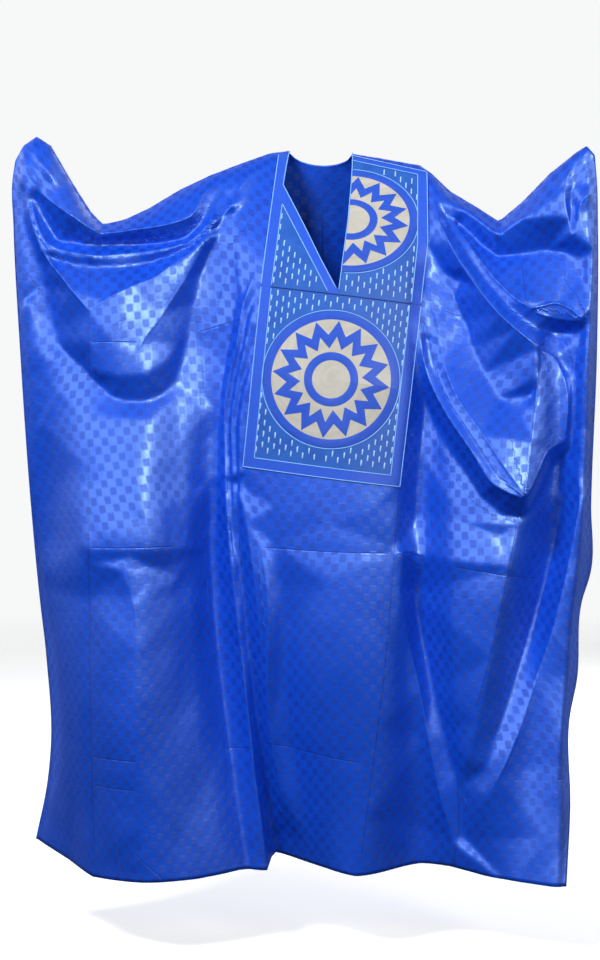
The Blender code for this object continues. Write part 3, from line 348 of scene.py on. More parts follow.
SKIRT_FACETS = (
    Ridge("left strip middle", 0, ((-514, -855, 4), (-502, -1039, 5), (-502, -1230, 5), (-506, -1391, 4))),
    Ridge("left packing crease", 0, ((-447, -886, -5), (-447, -1039, -6), (-446, -1230, -6),
        (-439, -1406, -4), (-435, -1490, -3))),
    Ridge("left drape crest", 6, ((-376, -821, 6), (-356, -886, 12), (-351, -977, 15), (-351, -1192, 16),
        (-348, -1314, 14), (-337, -1421, 11), (-330, -1506, 10))),
    Ridge("left drape fall", 0, ((-276, -901, 3), (-276, -1115, 2), (-269, -1345, 2), (-261, -1506, 2))),
    Ridge("left drape foot", 0, ((-211, -748, -5), (-206, -886, -10), (-194, -1023, -12),
        (-177, -1154, -11), (-155, -1307, -9), (-138, -1421, -8), (-131, -1498, -8))),
    Ridge("drape edge", 12, ((-183, -648, 3), (-174, -748, 7), (-167, -847, 9), (-155, -962, 10),
        (-140, -1100, 11), (-125, -1238, 12), (-108, -1360, 14), (-94, -1460, 14))),
    Ridge("behind the drape edge", 0, ((-163, -656, -2), (-155, -756, -3), (-146, -855, -4),
        (-135, -977, -4), (-122, -1115, -6), (-106, -1245, -10), (-91, -1368, -16), (-79, -1460, -18))),
    Ridge("small crest", 6, ((-140, -733, 4), (-129, -824, 6), (-119, -916, 6), (-112, -993, 5))),
    Ridge("long fold crest", 10, ((-112, -778, 4), (-100, -863, 8), (-96, -932, 9), (-100, -1039, 9),
        (-96, -1146, 7), (-73, -1268, 4))),
    Ridge("long fold valley", 0, ((-88, -771, -1), (-73, -863, -6), (-68, -932, -8), (-71, -1039, -9),
        (-58, -1154, -8), (-35, -1268, -7), (-24, -1368, -5))),
    Ridge("middle", 0, ((15, -847, 3), (15, -1039, 4), (22, -1230, 3), (30, -1421, 2))),
    Ridge("right packing crease", 0, ((155, -687, -2), (149, -778, -3), (139, -962, -3), (118, -1131, -3),
        (95, -1307, -3), (76, -1467, -2))),
    Ridge("small facet", 8, ((152, -791, 3), (177, -788, 8), (203, -798, 6))),
    Ridge("second fold crest", 10, ((158, -857, 5), (175, -955, 9), (198, -1062, 11), (215, -1154, 10),
        (238, -1268, 7), (267, -1368, 3))),
    Ridge("second fold valley", 0, ((185, -870, -3), (204, -962, -7), (227, -1062, -10), (250, -1154, -11),
        (276, -1253, -9), (286, -1360, -5))),
    Ridge("third crease", 0, ((386, -733, 3), (365, -817, 5), (333, -993, 5), (310, -1115, 4),
        (292, -1192, 2))),
    Ridge("dark valley", 0, ((483, -702, -5), (449, -840, -9), (417, -947, -11), (387, -1039, -10),
        (356, -1131, -7), (327, -1215, -4))),
    Ridge("diagonal crest", 9, ((512, -679, 6), (480, -840, 10), (454, -947, 12), (425, -1039, 11),
        (391, -1138, 8), (351, -1230, 4), (330, -1268, 2))),
    Ridge("right skirt", 0, ((512, -1023, 3), (489, -1192, 3), (436, -1345, 3), (382, -1452, 2))),
    Ridge("outline", 0, ((-559, -794, 0), (-552, -1039, 0), (-546, -1192, 0), (-563, -1314, 0),
        (-590, -1391, 0), (-590, -1521, 0), (-330, -1525, 0), (-54, -1525, 0), (206, -1525, 0),
        (512, -1525, 0), (508, -1345, 0), (508, -1115, 0), (524, -962, 0), (543, -840, 0), (539, -702, 0),
        (504, -625, 0), (459, -702, 0), (420, -717, 0), (351, -756, 0), (267, -725, 0), (206, -717, 0),
        (168, -641, 0), (114, -702, 0), (22, -733, 0), (-85, -702, 0), (-138, -633, 0), (-177, -602, 0),
        (-207, -641, 0), (-253, -740, 0), (-269, -840, 0), (-360, -794, 0), (-445, -809, 0),
        (-506, -748, 0))),
)

# Sharp creases from the folded-up cloth: a shallow kink on straight lines across the robe.
Crease = namedtuple("Crease", "rise path")
FRONT_CREASES = (
    Crease(-0.0022, ((-0.444, -0.166), (-0.443, -0.500), (-0.444, -0.900), (-0.443, -1.436))),
    Crease(0.0024, ((0.158, -0.662), (0.148, -0.786), (0.132, -0.992), (0.110, -1.180), (0.080, -1.424))),
    Crease(0.0030, ((0.398, -0.218), (0.402, -0.314))),
    Crease(0.0026, ((0.426, -0.386), (0.418, -0.482), (0.394, -0.676), (0.368, -0.822), (0.334, -0.986),
                    (0.298, -1.120))),
    Crease(0.0020, ((0.274, -1.226), (0.274, -1.372), (0.264, -1.420))),
    Crease(0.0020, ((0.246, -0.318), (0.278, -0.330))),
    Crease(0.0022, ((-0.236, -0.362), (-0.150, -0.336))),
    Crease(-0.0030, ((-0.446, -0.778), (-0.272, -0.778))),
    Crease(-0.0022, ((-0.112, -0.782), (0.148, -0.792))),
    Crease(0.0030, ((0.150, -0.788), (0.204, -0.824))),
    Crease(-0.0020, ((0.258, -0.816), (0.434, -0.846))),
    Crease(-0.0020, ((-0.442, -1.192), (-0.350, -1.192))),
    Crease(-0.0018, ((-0.442, -1.250), (-0.350, -1.250))),
    Crease(-0.0020, ((-0.112, -1.170), (0.088, -1.202))),
    Crease(-0.0016, ((-0.186, -1.186), (-0.130, -1.182))),
    Crease(-0.0016, ((0.464, -1.234), (0.498, -1.234))),
    Crease(0.0016, ((-0.356, -1.376), (-0.296, -1.432))),
    Crease(-0.0016, ((-0.440, -0.382), (-0.346, -0.382))),
)
BACK_CREASES = (
    Crease(-0.0022, ((-0.444, -0.260), (-0.443, -0.900), (-0.443, -1.420))),
    Crease(-0.0022, ((0.398, -0.260), (0.392, -0.900), (0.380, -1.430))),
    Crease(-0.0024, ((0.010, -0.060), (0.010, -0.700), (0.010, -1.426))),
    Crease(-0.0022, ((-0.444, -0.778), (0.010, -0.784), (0.430, -0.800))),
    Crease(0.0020, ((-0.444, -0.420), (-0.120, -0.400))),
    Crease(-0.0020, ((-0.444, -1.192), (0.010, -1.196), (0.400, -1.206))),
)


def column(rows, name):
    return np.array([getattr(row, name) for row in rows])


def hermite(t, a, b, out_a, into_b):
    return a + t * (out_a + t * (3 * (b - a) - 2 * out_a - into_b + t * (2 * (a - b) + out_a + into_b)))


def through(knots, values, at):
    """A smooth curve through the values at the knots, read at the given places."""
    knots = np.asarray(knots, float)
    values = np.asarray(values, float)
    at = np.clip(at, knots[0], knots[-1])
    k = np.clip(np.searchsorted(knots, at) - 1, 0, len(knots) - 2)
    width = knots[k + 1] - knots[k]
    slopes = np.gradient(values, knots)
    t = (at - knots[k]) / width
    return hermite(t, values[k], values[k + 1], slopes[k] * width, slopes[k + 1] * width)


def rounding(t):
    return np.sqrt(1 - (1 - np.clip(t, 0, 1)) ** 2)


def easing(t):
    return np.sin(np.clip(t, 0, 1) * math.pi / 2) ** 1.1


def top_value(name, x):
    if name == "height":
        return np.interp(x, column(TOP_LINE, "across"), column(TOP_LINE, "height"))
    return through(column(TOP_LINE, "across"), column(TOP_LINE, name), x)


def edge_value(rows, name, z):
    return through(-column(rows, "height"), column(rows, name), -z)


def across_flutes(flutes, left, right, x, z):
    """Depth of a sheet from its flutes and its two side edges."""
    down = -np.array(LEVELS)
    places = [left[0]] + [through(down, f.across, -z) for f in flutes] + [right[0]]
    depths = [left[1]] + [through(down, f.depth, -z) for f in flutes] + [right[1]]
    places = np.stack(places, axis=-1)
    depths = np.stack(depths, axis=-1)
    count = places.shape[-1]
    k = np.clip((x[..., None] > places).sum(-1) - 1, 0, count - 2)

    def pick(table, i):
        return np.take_along_axis(table, np.clip(i, 0, count - 1)[..., None], -1)[..., 0]

    def slope(i):
        run = np.maximum(pick(places, i + 1) - pick(places, i - 1), 1e-6)
        return (pick(depths, i + 1) - pick(depths, i - 1)) / run

    width = np.maximum(pick(places, k + 1) - pick(places, k), 1e-6)
    t = np.clip((x - pick(places, k)) / width, 0, 1)
    return hermite(t, pick(depths, k), pick(depths, k + 1), slope(k) * width, slope(k + 1) * width)


def path_points(path, count=40):
    points = np.array(path, float)
    steps = np.linalg.norm(np.diff(points, axis=0), axis=1)
    along = np.concatenate([[0], np.cumsum(steps)])
    at = np.linspace(0, along[-1], count)
    return np.stack([through(along, points[:, 0], at), through(along, points[:, 1], at)], 1)


def from_path(line, x, z):
    """Distance to a path, the side of it (positive on the left of its way) and the place along it, 0 to 1."""
    best = np.full(x.shape, np.inf)
    side = np.zeros(x.shape)
    place = np.zeros(x.shape)
    for i in range(len(line) - 1):
        start = line[i]
        step = line[i + 1] - line[i]
        t = np.clip(((x - start[0]) * step[0] + (z - start[1]) * step[1]) / (step @ step), 0, 1)
        off_x = x - start[0] - t * step[0]
        off_z = z - start[1] - t * step[1]
        away = np.hypot(off_x, off_z)
        near = away < best
        best = np.where(near, away, best)
        side = np.where(near, step[0] * off_z - step[1] * off_x, side)
        place = np.where(near, (i + t) / (len(line) - 1), place)
    return best, side, place


# A crisp fold's top is round over this share of its width. Any fold's flank ends where the tail does.
CRISP = 0.25
FOLD_TAIL = (1.4, 3.0)


def fold_rise(fold, x, z):
    best, side, place = from_path(path_points(fold.path), x, z)
    fade = easing(place / fold.start) * easing((1 - place) / fold.end)
    q = best / np.where(side > 0, fold.left, fold.right)
    shape = np.exp(CRISP - np.sqrt(q * q + CRISP ** 2)) if fold.crisp else np.exp(-q * q)
    return fold.rise * fade * shape * np.clip(FOLD_TAIL[0] - q / FOLD_TAIL[1], 0, 1)


KINK = 0.022
CREASE_MARK = 0.010
CREASE_ENDS = 0.10


def crease_rise(crease, x, z):
    """A crease's kink, its signed distance and its weight there."""
    best, side, place = from_path(path_points(crease.path, 14), x, z)
    fade = easing(np.minimum(place, 1 - place) / CREASE_ENDS)
    weight = np.exp(-(best / CREASE_MARK) ** 2) * fade
    return crease.rise * fade * np.exp(-best / KINK), best * np.sign(side), weight


def cross(a, b):
    return a[0] * b[1] - b[0] * a[1]


# A field's raster, its margin in steps and the reach of its softening in steps.
FIELD_STEP, FINE_STEP = 0.003, 0.002
MARGIN = 6
SOFTENING = 3


class Field:
    """Heights over (x, z), from ridge lines with flat triangles between them, a little softened."""

    def __init__(self, ridges, gain, step=FIELD_STEP):
        points, edges, heights, known = [], [], [], {}
        for ridge in ridges:
            for x, z, rise in ridge.line:
                if (x, z) not in known:
                    known[(x, z)] = len(points)
                    points.append(Vector((x * MM, z * MM)))
                    heights.append(rise * MM * gain)
            own = [known[(x, z)] for x, z, _ in ridge.line]
            edges += zip(own, own[1:])
        verts, _, faces, origin, _, _ = delaunay_2d_cdt(points, edges, [], 0, 1e-4)
        flat = np.array([tuple(p) for p in points])
        tall = []
        for vert, own in zip(verts, origin):
            # Where two lines cross there is a new point, with a height from its two nearest neighbours.
            away = np.hypot(flat[:, 0] - vert.x, flat[:, 1] - vert.y) + 1e-6
            near = np.argsort(away)[:2]
            between = float(np.average(np.array(heights)[near], weights=1 / away[near]))
            tall.append(heights[own[0]] if own else between)
        places = np.array([tuple(v) for v in verts])
        self.low = places.min(0) - MARGIN * step
        self.step = step
        size = np.ceil((places.max(0) + MARGIN * step - self.low) / step).astype(int) + 1
        self.grid = np.zeros(size)
        for face in faces:
            self.fill(places[list(face)], [tall[k] for k in face])
        reach = np.arange(-SOFTENING, SOFTENING + 1)
        kernel = np.exp(-0.5 * reach ** 2)
        kernel /= kernel.sum()
        for axis in (0, 1):
            self.grid = np.apply_along_axis(lambda v: np.convolve(v, kernel, mode="same"), axis, self.grid)

    def fill(self, corners, tall):
        """Writes one flat triangle into the raster."""
        lo = np.floor((corners.min(0) - self.low) / self.step).astype(int)
        hi = np.ceil((corners.max(0) - self.low) / self.step).astype(int) + 1
        own_x, own_z = (self.low[k] + self.step * np.arange(lo[k], hi[k]) for k in (0, 1))
        px, pz = np.meshgrid(own_x, own_z, indexing="ij")
        a, b, c = corners
        area = cross(b - a, c - a)
        if abs(area) < 1e-12:
            return
        off = (px - a[0], pz - a[1])
        wb = cross(off, c - a) / area
        wc = cross(b - a, off) / area
        inside = (wb >= -1e-6) & (wc >= -1e-6) & (wb + wc <= 1 + 1e-6)
        value = tall[0] * (1 - wb - wc) + tall[1] * wb + tall[2] * wc
        self.grid[lo[0]:hi[0], lo[1]:hi[1]][inside] = value[inside]

    def at(self, x, z):
        return read_raster(self.grid, self.low, self.step, x, z)


def read_raster(grid, low, step, x, z):
    """Values between the points of a raster over (x, z)."""
    gx = np.clip((x - low[0]) / step, 0, grid.shape[0] - 1.001)
    gz = np.clip((z - low[1]) / step, 0, grid.shape[1] - 1.001)
    i, j = gx.astype(int), gz.astype(int)
    u, v = gx - i, gz - j
    return ((1 - u) * (1 - v) * grid[i, j] + u * (1 - v) * grid[i + 1, j] + (1 - u) * v * grid[i, j + 1]
            + u * v * grid[i + 1, j + 1])


# How much the tables' rises are raised, how far below the top fold the facets start, and the back's share.
SLEEVE_GAIN = 1.8
SKIRT_GAIN = 2.0
FACET_START = 0.030
BACK_SHARE = 0.55
FIELDS = (Field(LEFT_FACETS, SLEEVE_GAIN), Field(RIGHT_FACETS, SLEEVE_GAIN), Field(SKIRT_FACETS, SKIRT_GAIN))
SIDE_FIELD = Field(SIDE_FACETS, 1.0, FINE_STEP)
FAR = 0.05
LIP_ENDS = 0.12


def lips(x, z):
    """Signed distance to the nearest sharp fold edge and the height of its lip there."""
    nearest = np.full(x.shape, FAR)
    signed = np.full(x.shape, FAR)
    height = np.zeros(x.shape)
    for ridge in LEFT_FACETS + RIGHT_FACETS + SIDE_FACETS + SKIRT_FACETS:
        if ridge.lip == 0:
            continue
        best, side, place = from_path(path_points(MM * np.array(ridge.line)[:, :2], 30), x, z)
        near = best < nearest
        fade = easing(np.minimum(place, 1 - place) / LIP_ENDS)
        nearest = np.where(near, best, nearest)
        signed = np.where(near, best * np.sign(side), signed)
        height = np.where(near, ridge.lip * 0.1 * MM * fade, height)
    return signed, height


CRUMPLE_LOW, CRUMPLE_HIGH = (-0.64, -1.46), (0.60, 0.06)
CRUMPLE_AREA = 1.95
CELL_HEIGHT = 1.6
CELL_SQUASH = 0.62


def crumple(x, z, seed, cell, slope):
    """Starched facets: the distance to the nearest of scattered points, so they meet in sharp valleys."""
    scatter = np.random.default_rng(seed)
    count = int(CRUMPLE_AREA / (cell * cell * CELL_HEIGHT))
    best = np.full(x.shape, 9.0)
    for sx, sz in scatter.uniform(CRUMPLE_LOW, CRUMPLE_HIGH, (count, 2)):
        best = np.minimum(best, np.hypot(x - sx, (z - sz) * CELL_SQUASH))
    return slope * np.minimum(best, cell)


# The middle of the calm cloth, half its width, the way over which the crumpling sets in beside it, and the
# lowest place and the height of the same change upward.
CALM_MIDDLE, CALM_HALF, CALM_EDGE = 0.04, 0.16, 0.08
CRUMPLED_FROM, CRUMPLED_OVER = -0.95, 0.35


def small_folds(x, z, outward):
    """Crumpled facets and faint ripples, more of them on the sleeves than on the panel and skirt."""
    aside = np.clip((np.abs(x - CALM_MIDDLE) - CALM_HALF) / CALM_EDGE, 0, 1)
    high = np.clip((z - CRUMPLED_FROM) / CRUMPLED_OVER, 0, 1)
    amount = 0.25 + 0.75 * aside * (0.35 + 0.65 * high)
    rise = crumple(x, z, 5 + outward, 0.090, 0.060) + crumple(x, z, 9 + outward, 0.045, 0.035)
    ripple = np.sin(x * 61 + 2.1 * np.sin(z * 9)) * np.sin(z * 13 + 1.3 * np.sin(x * 17))
    return (0.0030 - rise) * amount + 0.0009 * ripple * (0.3 + 0.7 * aside)


Sheet = namedtuple("Sheet", "flutes folds creases outward")
FRONT = Sheet(FRONT_FLUTES, FRONT_FOLDS, FRONT_CREASES, -1)
BACK = Sheet(BACK_FLUTES, BACK_FOLDS, BACK_CREASES, 1)


def sheet_depth(x, z, sheet):
    """y of a sheet at the places (x, z), the way to the nearest crease and how near it is."""
    outward = sheet.outward
    sides = []
    for rows in (LEFT_EDGE, RIGHT_EDGE):
        gap = np.maximum(edge_value(rows, "gap", z), SEAM / 2)
        sides.append((edge_value(rows, "across", z), edge_value(rows, "depth", z) + outward * gap))
    y = across_flutes(sheet.flutes, sides[0], sides[1], x, z)
    for fold in sheet.folds:
        y = y + outward * fold_rise(fold, x, z)
    line = np.zeros(x.shape)
    weight = np.zeros(x.shape)
    for crease in sheet.creases:
        rise, signed, own = crease_rise(crease, x, z)
        y = y + outward * rise
        line = np.where(own > weight, signed, line)
        weight = np.maximum(weight, own)
    y = y + outward * small_folds(x, z, outward)
    y = sides[0][1] + (y - sides[0][1]) * rounding((x - sides[0][0]) / EDGE_ROLL)
    y = sides[1][1] + (y - sides[1][1]) * rounding((sides[1][0] - x) / EDGE_ROLL)
    drop = top_value("height", x) - z
    roll = top_value("roll", x)
    ridge = top_value("depth", x) + outward * SEAM / 2
    turned = ridge + outward * roll * rounding(drop / roll)
    y = turned + (y - turned) * easing(drop / top_value("slope", x))
    facets = sum(field.at(x, z) for field in FIELDS)
    facets = facets + SIDE_FIELD.at(x, z) if outward < 0 else BACK_SHARE * facets
    inside = np.minimum(x - sides[0][0], sides[1][0] - x)
    facets = facets * np.clip(drop / FACET_START, 0, 1) * np.clip(inside / EDGE_ROLL, 0, 1)
    return y + outward * facets, line, weight


# The grids of the shells: rows as parts of the drop, closer where the folds are small.
def graded(stops, counts):
    parts = [np.linspace(a, b, n, endpoint=False) for a, b, n in zip(stops, stops[1:], counts)]
    return np.concatenate(parts + [[stops[-1]]])


FOOT_SHARE = 0.200
ROWS_TO_FOOT = (4, 8, 44)
FRONT_ROWS = graded((0.0, 0.008, 0.036, FOOT_SHARE, 0.56, 1.0), (*ROWS_TO_FOOT, 96, 76))
FOOT_ROW = sum(ROWS_TO_FOOT)
BACK_ROWS = graded((0.0, 0.008, 0.036, 0.50, 1.0), (4, 6, 74, 50))


def side_line(table, top, hem_height, rows):
    z = top.height - rows * (top.height - hem_height)
    return edge_value(table, "across", z), z


def neck_line(name, top_height, rows):
    """An inner edge: down the neck opening to its foot, then down the middle."""
    part = rows / FOOT_SHARE
    rest = (rows - FOOT_SHARE) / (1 - FOOT_SHARE)
    middle_hem = float(np.interp(HEM_MIDDLE, column(FRONT_HEM, "across"), column(FRONT_HEM, "height")))
    z = np.where(part < 1, top_height + part * (NECK_FOOT[1] - top_height),
                 NECK_FOOT[1] + rest * (middle_hem - NECK_FOOT[1]))
    opening = np.interp(-z, -column(NECK, "height"), column(NECK, name))
    x = np.where(part < 1, opening, NECK_FOOT[0] + rest * (HEM_MIDDLE - NECK_FOOT[0]))
    return x, z


def grid_places(starts, outer, inner, hem, rows):
    """Columns of places (x, z) between an outer and an inner line, given where they start on the top fold."""
    share = (starts - outer[0][0]) / (inner[0][0] - outer[0][0])
    x = outer[0][None, :] + share[:, None] * (inner[0] - outer[0])[None, :]
    top = top_value("height", starts)
    bottom = np.interp(x[:, -1], column(hem, "across"), column(hem, "height"))
    z = top[:, None] - rows[None, :] * (top - bottom)[:, None]
    own = np.argmax(share)
    return x, z + (inner[1] - z[own])[None, :] * share[:, None] ** 3


def back_places(starts, rows):
    left = side_line(LEFT_EDGE, TOP_LINE[0], BACK_HEM[0].height, rows)
    right = side_line(RIGHT_EDGE, TOP_LINE[-1], BACK_HEM[-1].height, rows)
    share = (starts - starts[0]) / (starts[-1] - starts[0])
    x = left[0][None, :] + share[:, None] * (right[0] - left[0])[None, :]
    across = np.clip((starts - NECK_LEFT) / (NECK_RIGHT - NECK_LEFT), 0, 1)
    top = top_value("height", starts) - BACK_SCOOP * np.sqrt(np.sin(math.pi * across) + 1e-12)
    bottom = np.interp(x[:, -1], column(BACK_HEM, "across"), column(BACK_HEM, "height"))
    return x, top[:, None] - rows[None, :] * (top - bottom)[:, None]


def smooth_along(values, axis, reach):
    """A running mean over 2 * reach + 1 neighbours."""
    kernel = np.ones(2 * reach + 1) / (2 * reach + 1)
    padded = np.pad(values, [(reach, reach) if a == axis else (0, 0) for a in (0, 1)], mode="edge")
    return np.apply_along_axis(lambda v: np.convolve(v, kernel, mode="valid"), axis, padded)


GRAIN_STEP = 0.006
GRAIN_LOW, GRAIN_HIGH = (-0.624, -1.464), (0.570, 0.040)
GRAIN_MIDDLE = 0.02


def cloth_length(y, axis):
    """The way along the cloth from one side of a raster of depths, in one direction."""
    steps = np.minimum(np.hypot(np.diff(y, axis=axis), GRAIN_STEP), 2.0 * GRAIN_STEP)
    steps = smooth_along(steps, 1 - axis, 8)
    return np.concatenate([0 * np.take(y, [0], axis=axis), np.cumsum(steps, axis=axis)], axis=axis)


def grain(x, z, sheet):
    """Coordinates along the weft and up the warp, measured on the cloth over an upright raster."""
    gx, gz = (np.arange(GRAIN_LOW[k], GRAIN_HIGH[k], GRAIN_STEP) for k in (0, 1))
    px, pz = np.meshgrid(gx, gz, indexing="ij")
    y = sheet_depth(px, pz, sheet)[0]
    u, v = cloth_length(y, 0), cloth_length(y, 1)
    u = u - u[np.searchsorted(gx, GRAIN_MIDDLE)][None, :]
    return [read_raster(values, GRAIN_LOW, GRAIN_STEP, x, z) for values in (u, v)]


def quads_of(columns, rows, first=0):
    i, j = np.meshgrid(np.arange(columns - 1), np.arange(rows - 1), indexing="ij")
    a = (first + i * rows + j).ravel()
    return np.stack([a, a + 1, a + rows + 1, a + rows], 1)


def normals_of(points, quads):
    face = np.cross(points[quads[:, 2]] - points[quads[:, 0]], points[quads[:, 3]] - points[quads[:, 1]])
    normals = np.zeros_like(points)
    for k in range(4):
        np.add.at(normals, quads[:, k], face)
    return normals / np.maximum(np.linalg.norm(normals, axis=1, keepdims=True), 1e-12)


def edge_normals(line, outside):
    tangent = np.gradient(line, axis=0)
    normal = np.stack([-tangent[:, 2], np.zeros(len(line)), tangent[:, 0]], 1)
    normal /= np.maximum(np.linalg.norm(normal, axis=1, keepdims=True), 1e-12)
    return normal * np.sign(normal @ np.array(outside))[:, None]


OPEN_GAP = 0.012


def rim_normals(normals, points, places, outside, table=None):
    """Normals along an edge that lie in the edge's own plane, where the two shells meet."""
    share = np.ones(len(places))
    if table is not None:
        share = np.clip(1 - edge_value(table, "gap", points[places, 2]) / OPEN_GAP, 0, 1)
    mixed = edge_normals(points[places], outside) * share[:, None] + normals[places] * (1 - share[:, None])
    normals[places] = mixed / np.linalg.norm(mixed, axis=1, keepdims=True)


def closed(faces, count):
    """Faces of a thin body of 2 * count points: its outer side, its inner side and its rim."""
    known = {(a, b) for face in faces for a, b in zip(face, face[1:] + face[:1])}
    rim = sorted((b, a, a + count, b + count) for a, b in known if (b, a) not in known)
    return faces + [[v + count for v in reversed(face)] for face in faces] + rim


def add_object(name, points, faces, material, attributes=(), smooth=True):
    mesh = bpy.data.meshes.new(name)
    mesh.from_pydata([tuple(p) for p in points], [], [tuple(f) for f in faces])
    for label, values in attributes:
        layer = mesh.attributes.new(label, "FLOAT_VECTOR", "POINT")
        layer.data.foreach_set("vector", np.ascontiguousarray(values, dtype=np.float32).ravel())
    mesh.update()
    if smooth:
        mesh.polygons.foreach_set("use_smooth", [True] * len(mesh.polygons))
    mesh.materials.append(material)
    item = bpy.data.objects.new(name, mesh)
    bpy.context.scene.collection.objects.link(item)
    return item


# Materials. Every coordinate is the mesh attribute "cloth", in metres along the weft and the warp.
class Nodes:
    """Short names for the nodes of one material."""

    def __init__(self, name):
        self.material = bpy.data.materials.new(name)
        self.material.use_nodes = True
        self.tree = self.material.node_tree
        self.shader = self.tree.nodes["Principled BSDF"]

    def new(self, kind, **settings):
        node = self.tree.nodes.new(kind)
        for key, value in settings.items():
            setattr(node, key, value)
        return node

    def put(self, socket, value):
        if isinstance(value, bpy.types.NodeSocket):
            self.tree.links.new(value, socket)
        else:
            socket.default_value = value

    def math(self, operation, a, b=0.0, c=0.0, clamp=False):
        node = self.new("ShaderNodeMath", operation=operation, use_clamp=clamp)
        for socket, value in zip(node.inputs, (a, b, c)):
            self.put(socket, value)
        return node.outputs[0]

    def attribute(self, name):
        """An attribute of the mesh, whole and as its first two values."""
        split = self.new("ShaderNodeSeparateXYZ")
        source = self.new("ShaderNodeAttribute", attribute_name=name)
        self.put(split.inputs[0], source.outputs["Vector"])
        return source.outputs["Vector"], split.outputs[0], split.outputs[1]

    def blend(self, factor, a, b):
        node = self.new("ShaderNodeMix", data_type="RGBA")
        self.put(node.inputs[0], factor)
        for socket, colour in ((node.inputs[6], a), (node.inputs[7], b)):
            self.put(socket, (*colour, 1.0) if isinstance(colour, tuple) else colour)
        return node.outputs[2]

    def waves(self, vector, scale, direction, distortion=0.0):
        node = self.new("ShaderNodeTexWave", wave_type="BANDS", bands_direction=direction)
        node.inputs["Scale"].default_value = scale
        node.inputs["Distortion"].default_value = distortion
        self.put(node.inputs["Vector"], vector)
        return node.outputs[1]

    def band(self, value, start, end, soft):
        """1 where value lies between start and end, with soft flanks."""
        rise = self.math("MULTIPLY_ADD", value, 1 / soft, 0.5 - start / soft, clamp=True)
        fall = self.math("MULTIPLY_ADD", value, -1 / soft, 0.5 + end / soft, clamp=True)
        return self.math("MULTIPLY", rise, fall)

    def noise(self, vector, scale, detail=2.0, stretch=(1.0, 1.0, 1.0)):
        place = self.new("ShaderNodeMapping")
        self.put(place.inputs["Vector"], vector)
        place.inputs["Scale"].default_value = stretch
        node = self.new("ShaderNodeTexNoise")
        node.inputs["Scale"].default_value = scale
        node.inputs["Detail"].default_value = detail
        self.put(node.inputs["Vector"], place.outputs[0])
        return node.outputs[0]

    def bump(self, height, distance, strength=1.0, below=None):
        node = self.new("ShaderNodeBump")
        node.inputs["Strength"].default_value = strength
        node.inputs["Distance"].default_value = distance
        self.put(node.inputs["Height"], height)
        if below is not None:
            self.put(node.inputs["Normal"], below)
        return node.outputs[0]


CHECK_WIDE, CHECK_TALL = 0.0125, 0.0145
CELL_WIDE, CELL_TALL = 0.0150, 0.0163
CHECK_START = 0.0013
CHECK_SOFT = 0.0028
CREASE_WIDE = 0.0020
LIP_WIDE = 0.0032
WEAVE = 260.0


def damask(name, ground, check):
    """Glazed damask with staggered checks of duller weave, packing creases with a painted shade line along
    each, and a fine weave.
    """
    n = Nodes(name)
    cloth, u, v = n.attribute("cloth")
    wobble = n.noise(cloth, 28.0, 1.0)
    u = n.math("ADD", u, n.math("MULTIPLY_ADD", wobble, 0.003, -0.0015))
    row = n.math("FLOOR", n.math("DIVIDE", v, CELL_TALL))
    shift = n.math("MULTIPLY", n.math("FLOORED_MODULO", row, 2.0), CELL_WIDE)
    along = n.math("FLOORED_MODULO", n.math("ADD", u, shift), 2 * CELL_WIDE)
    up = n.math("FLOORED_MODULO", v, CELL_TALL)
    edge = (CELL_TALL - CHECK_TALL) / 2
    mask = n.math("MULTIPLY", n.band(along, CHECK_START, CHECK_START + CHECK_WIDE, CHECK_SOFT),
                  n.band(up, edge, edge + CHECK_TALL, CHECK_SOFT))
    wear = n.noise(cloth, 5.0, 3.0)
    strength = n.math("MULTIPLY_ADD", wear, 0.9, 0.35, clamp=True)
    mask = n.math("MULTIPLY", mask, strength)
    base = n.blend(mask, ground, check)
    base = n.blend(n.math("MULTIPLY_ADD", n.noise(cloth, 11.0, 2.0), 0.8, -0.25, clamp=True), base,
                   tuple(1.14 * c + 0.004 for c in ground))
    _, signed, weight = n.attribute("crease")
    thin = n.math("MULTIPLY_ADD", n.math("ABSOLUTE", signed), -1 / CREASE_WIDE, 1.0, clamp=True)
    thin = n.math("MULTIPLY", thin, n.math("MULTIPLY_ADD", weight, 2.0, -0.6, clamp=True))
    # Painted shade: a thin darker line along each packing crease, where the fold shades the cloth.
    base = n.blend(n.math("MULTIPLY", thin, 0.55), base, tuple(0.30 * c for c in ground))
    n.put(n.shader.inputs["Base Color"], base)
    rough = n.math("MULTIPLY_ADD", mask, 0.22, 0.22)
    rough = n.math("MULTIPLY_ADD", wear, 0.10, rough)
    glancing = n.new("ShaderNodeLayerWeight")
    glancing.inputs["Blend"].default_value = 0.5
    dulled = n.math("MULTIPLY_ADD", glancing.outputs["Facing"], 3.0, -2.0, clamp=True)
    n.put(n.shader.inputs["Roughness"], n.math("ADD", rough, dulled, clamp=True))
    weave = n.math("MAXIMUM", n.waves(cloth, WEAVE, "X"), n.waves(cloth, WEAVE, "Y"))
    crinkle = n.bump(n.noise(cloth, 24.0, 3.0, (1.0, 0.7, 1.0)), 0.0022, 0.55)
    raised = n.bump(mask, 0.00025, 0.6, crinkle)
    woven = n.bump(weave, 0.00006, 0.35, raised)
    pressed = n.bump(n.math("MULTIPLY", thin, -1.0), 0.0008, 0.45, woven)
    _, away, height = n.attribute("lip")
    across = n.math("MULTIPLY", away, 1 / LIP_WIDE)
    bead = n.math("EXPONENT", n.math("MULTIPLY", n.math("MULTIPLY", across, across), -1.0))
    pressed = n.bump(n.math("MULTIPLY", bead, height), 1.0, 1.0, pressed)
    n.put(n.shader.inputs["Normal"], pressed)
    n.shader.inputs["IOR"].default_value = 1.80
    n.shader.inputs["Specular IOR Level"].default_value = 0.9
    n.shader.inputs["Specular Tint"].default_value = (0.40, 0.62, 1.0, 1.0)
    return n.material


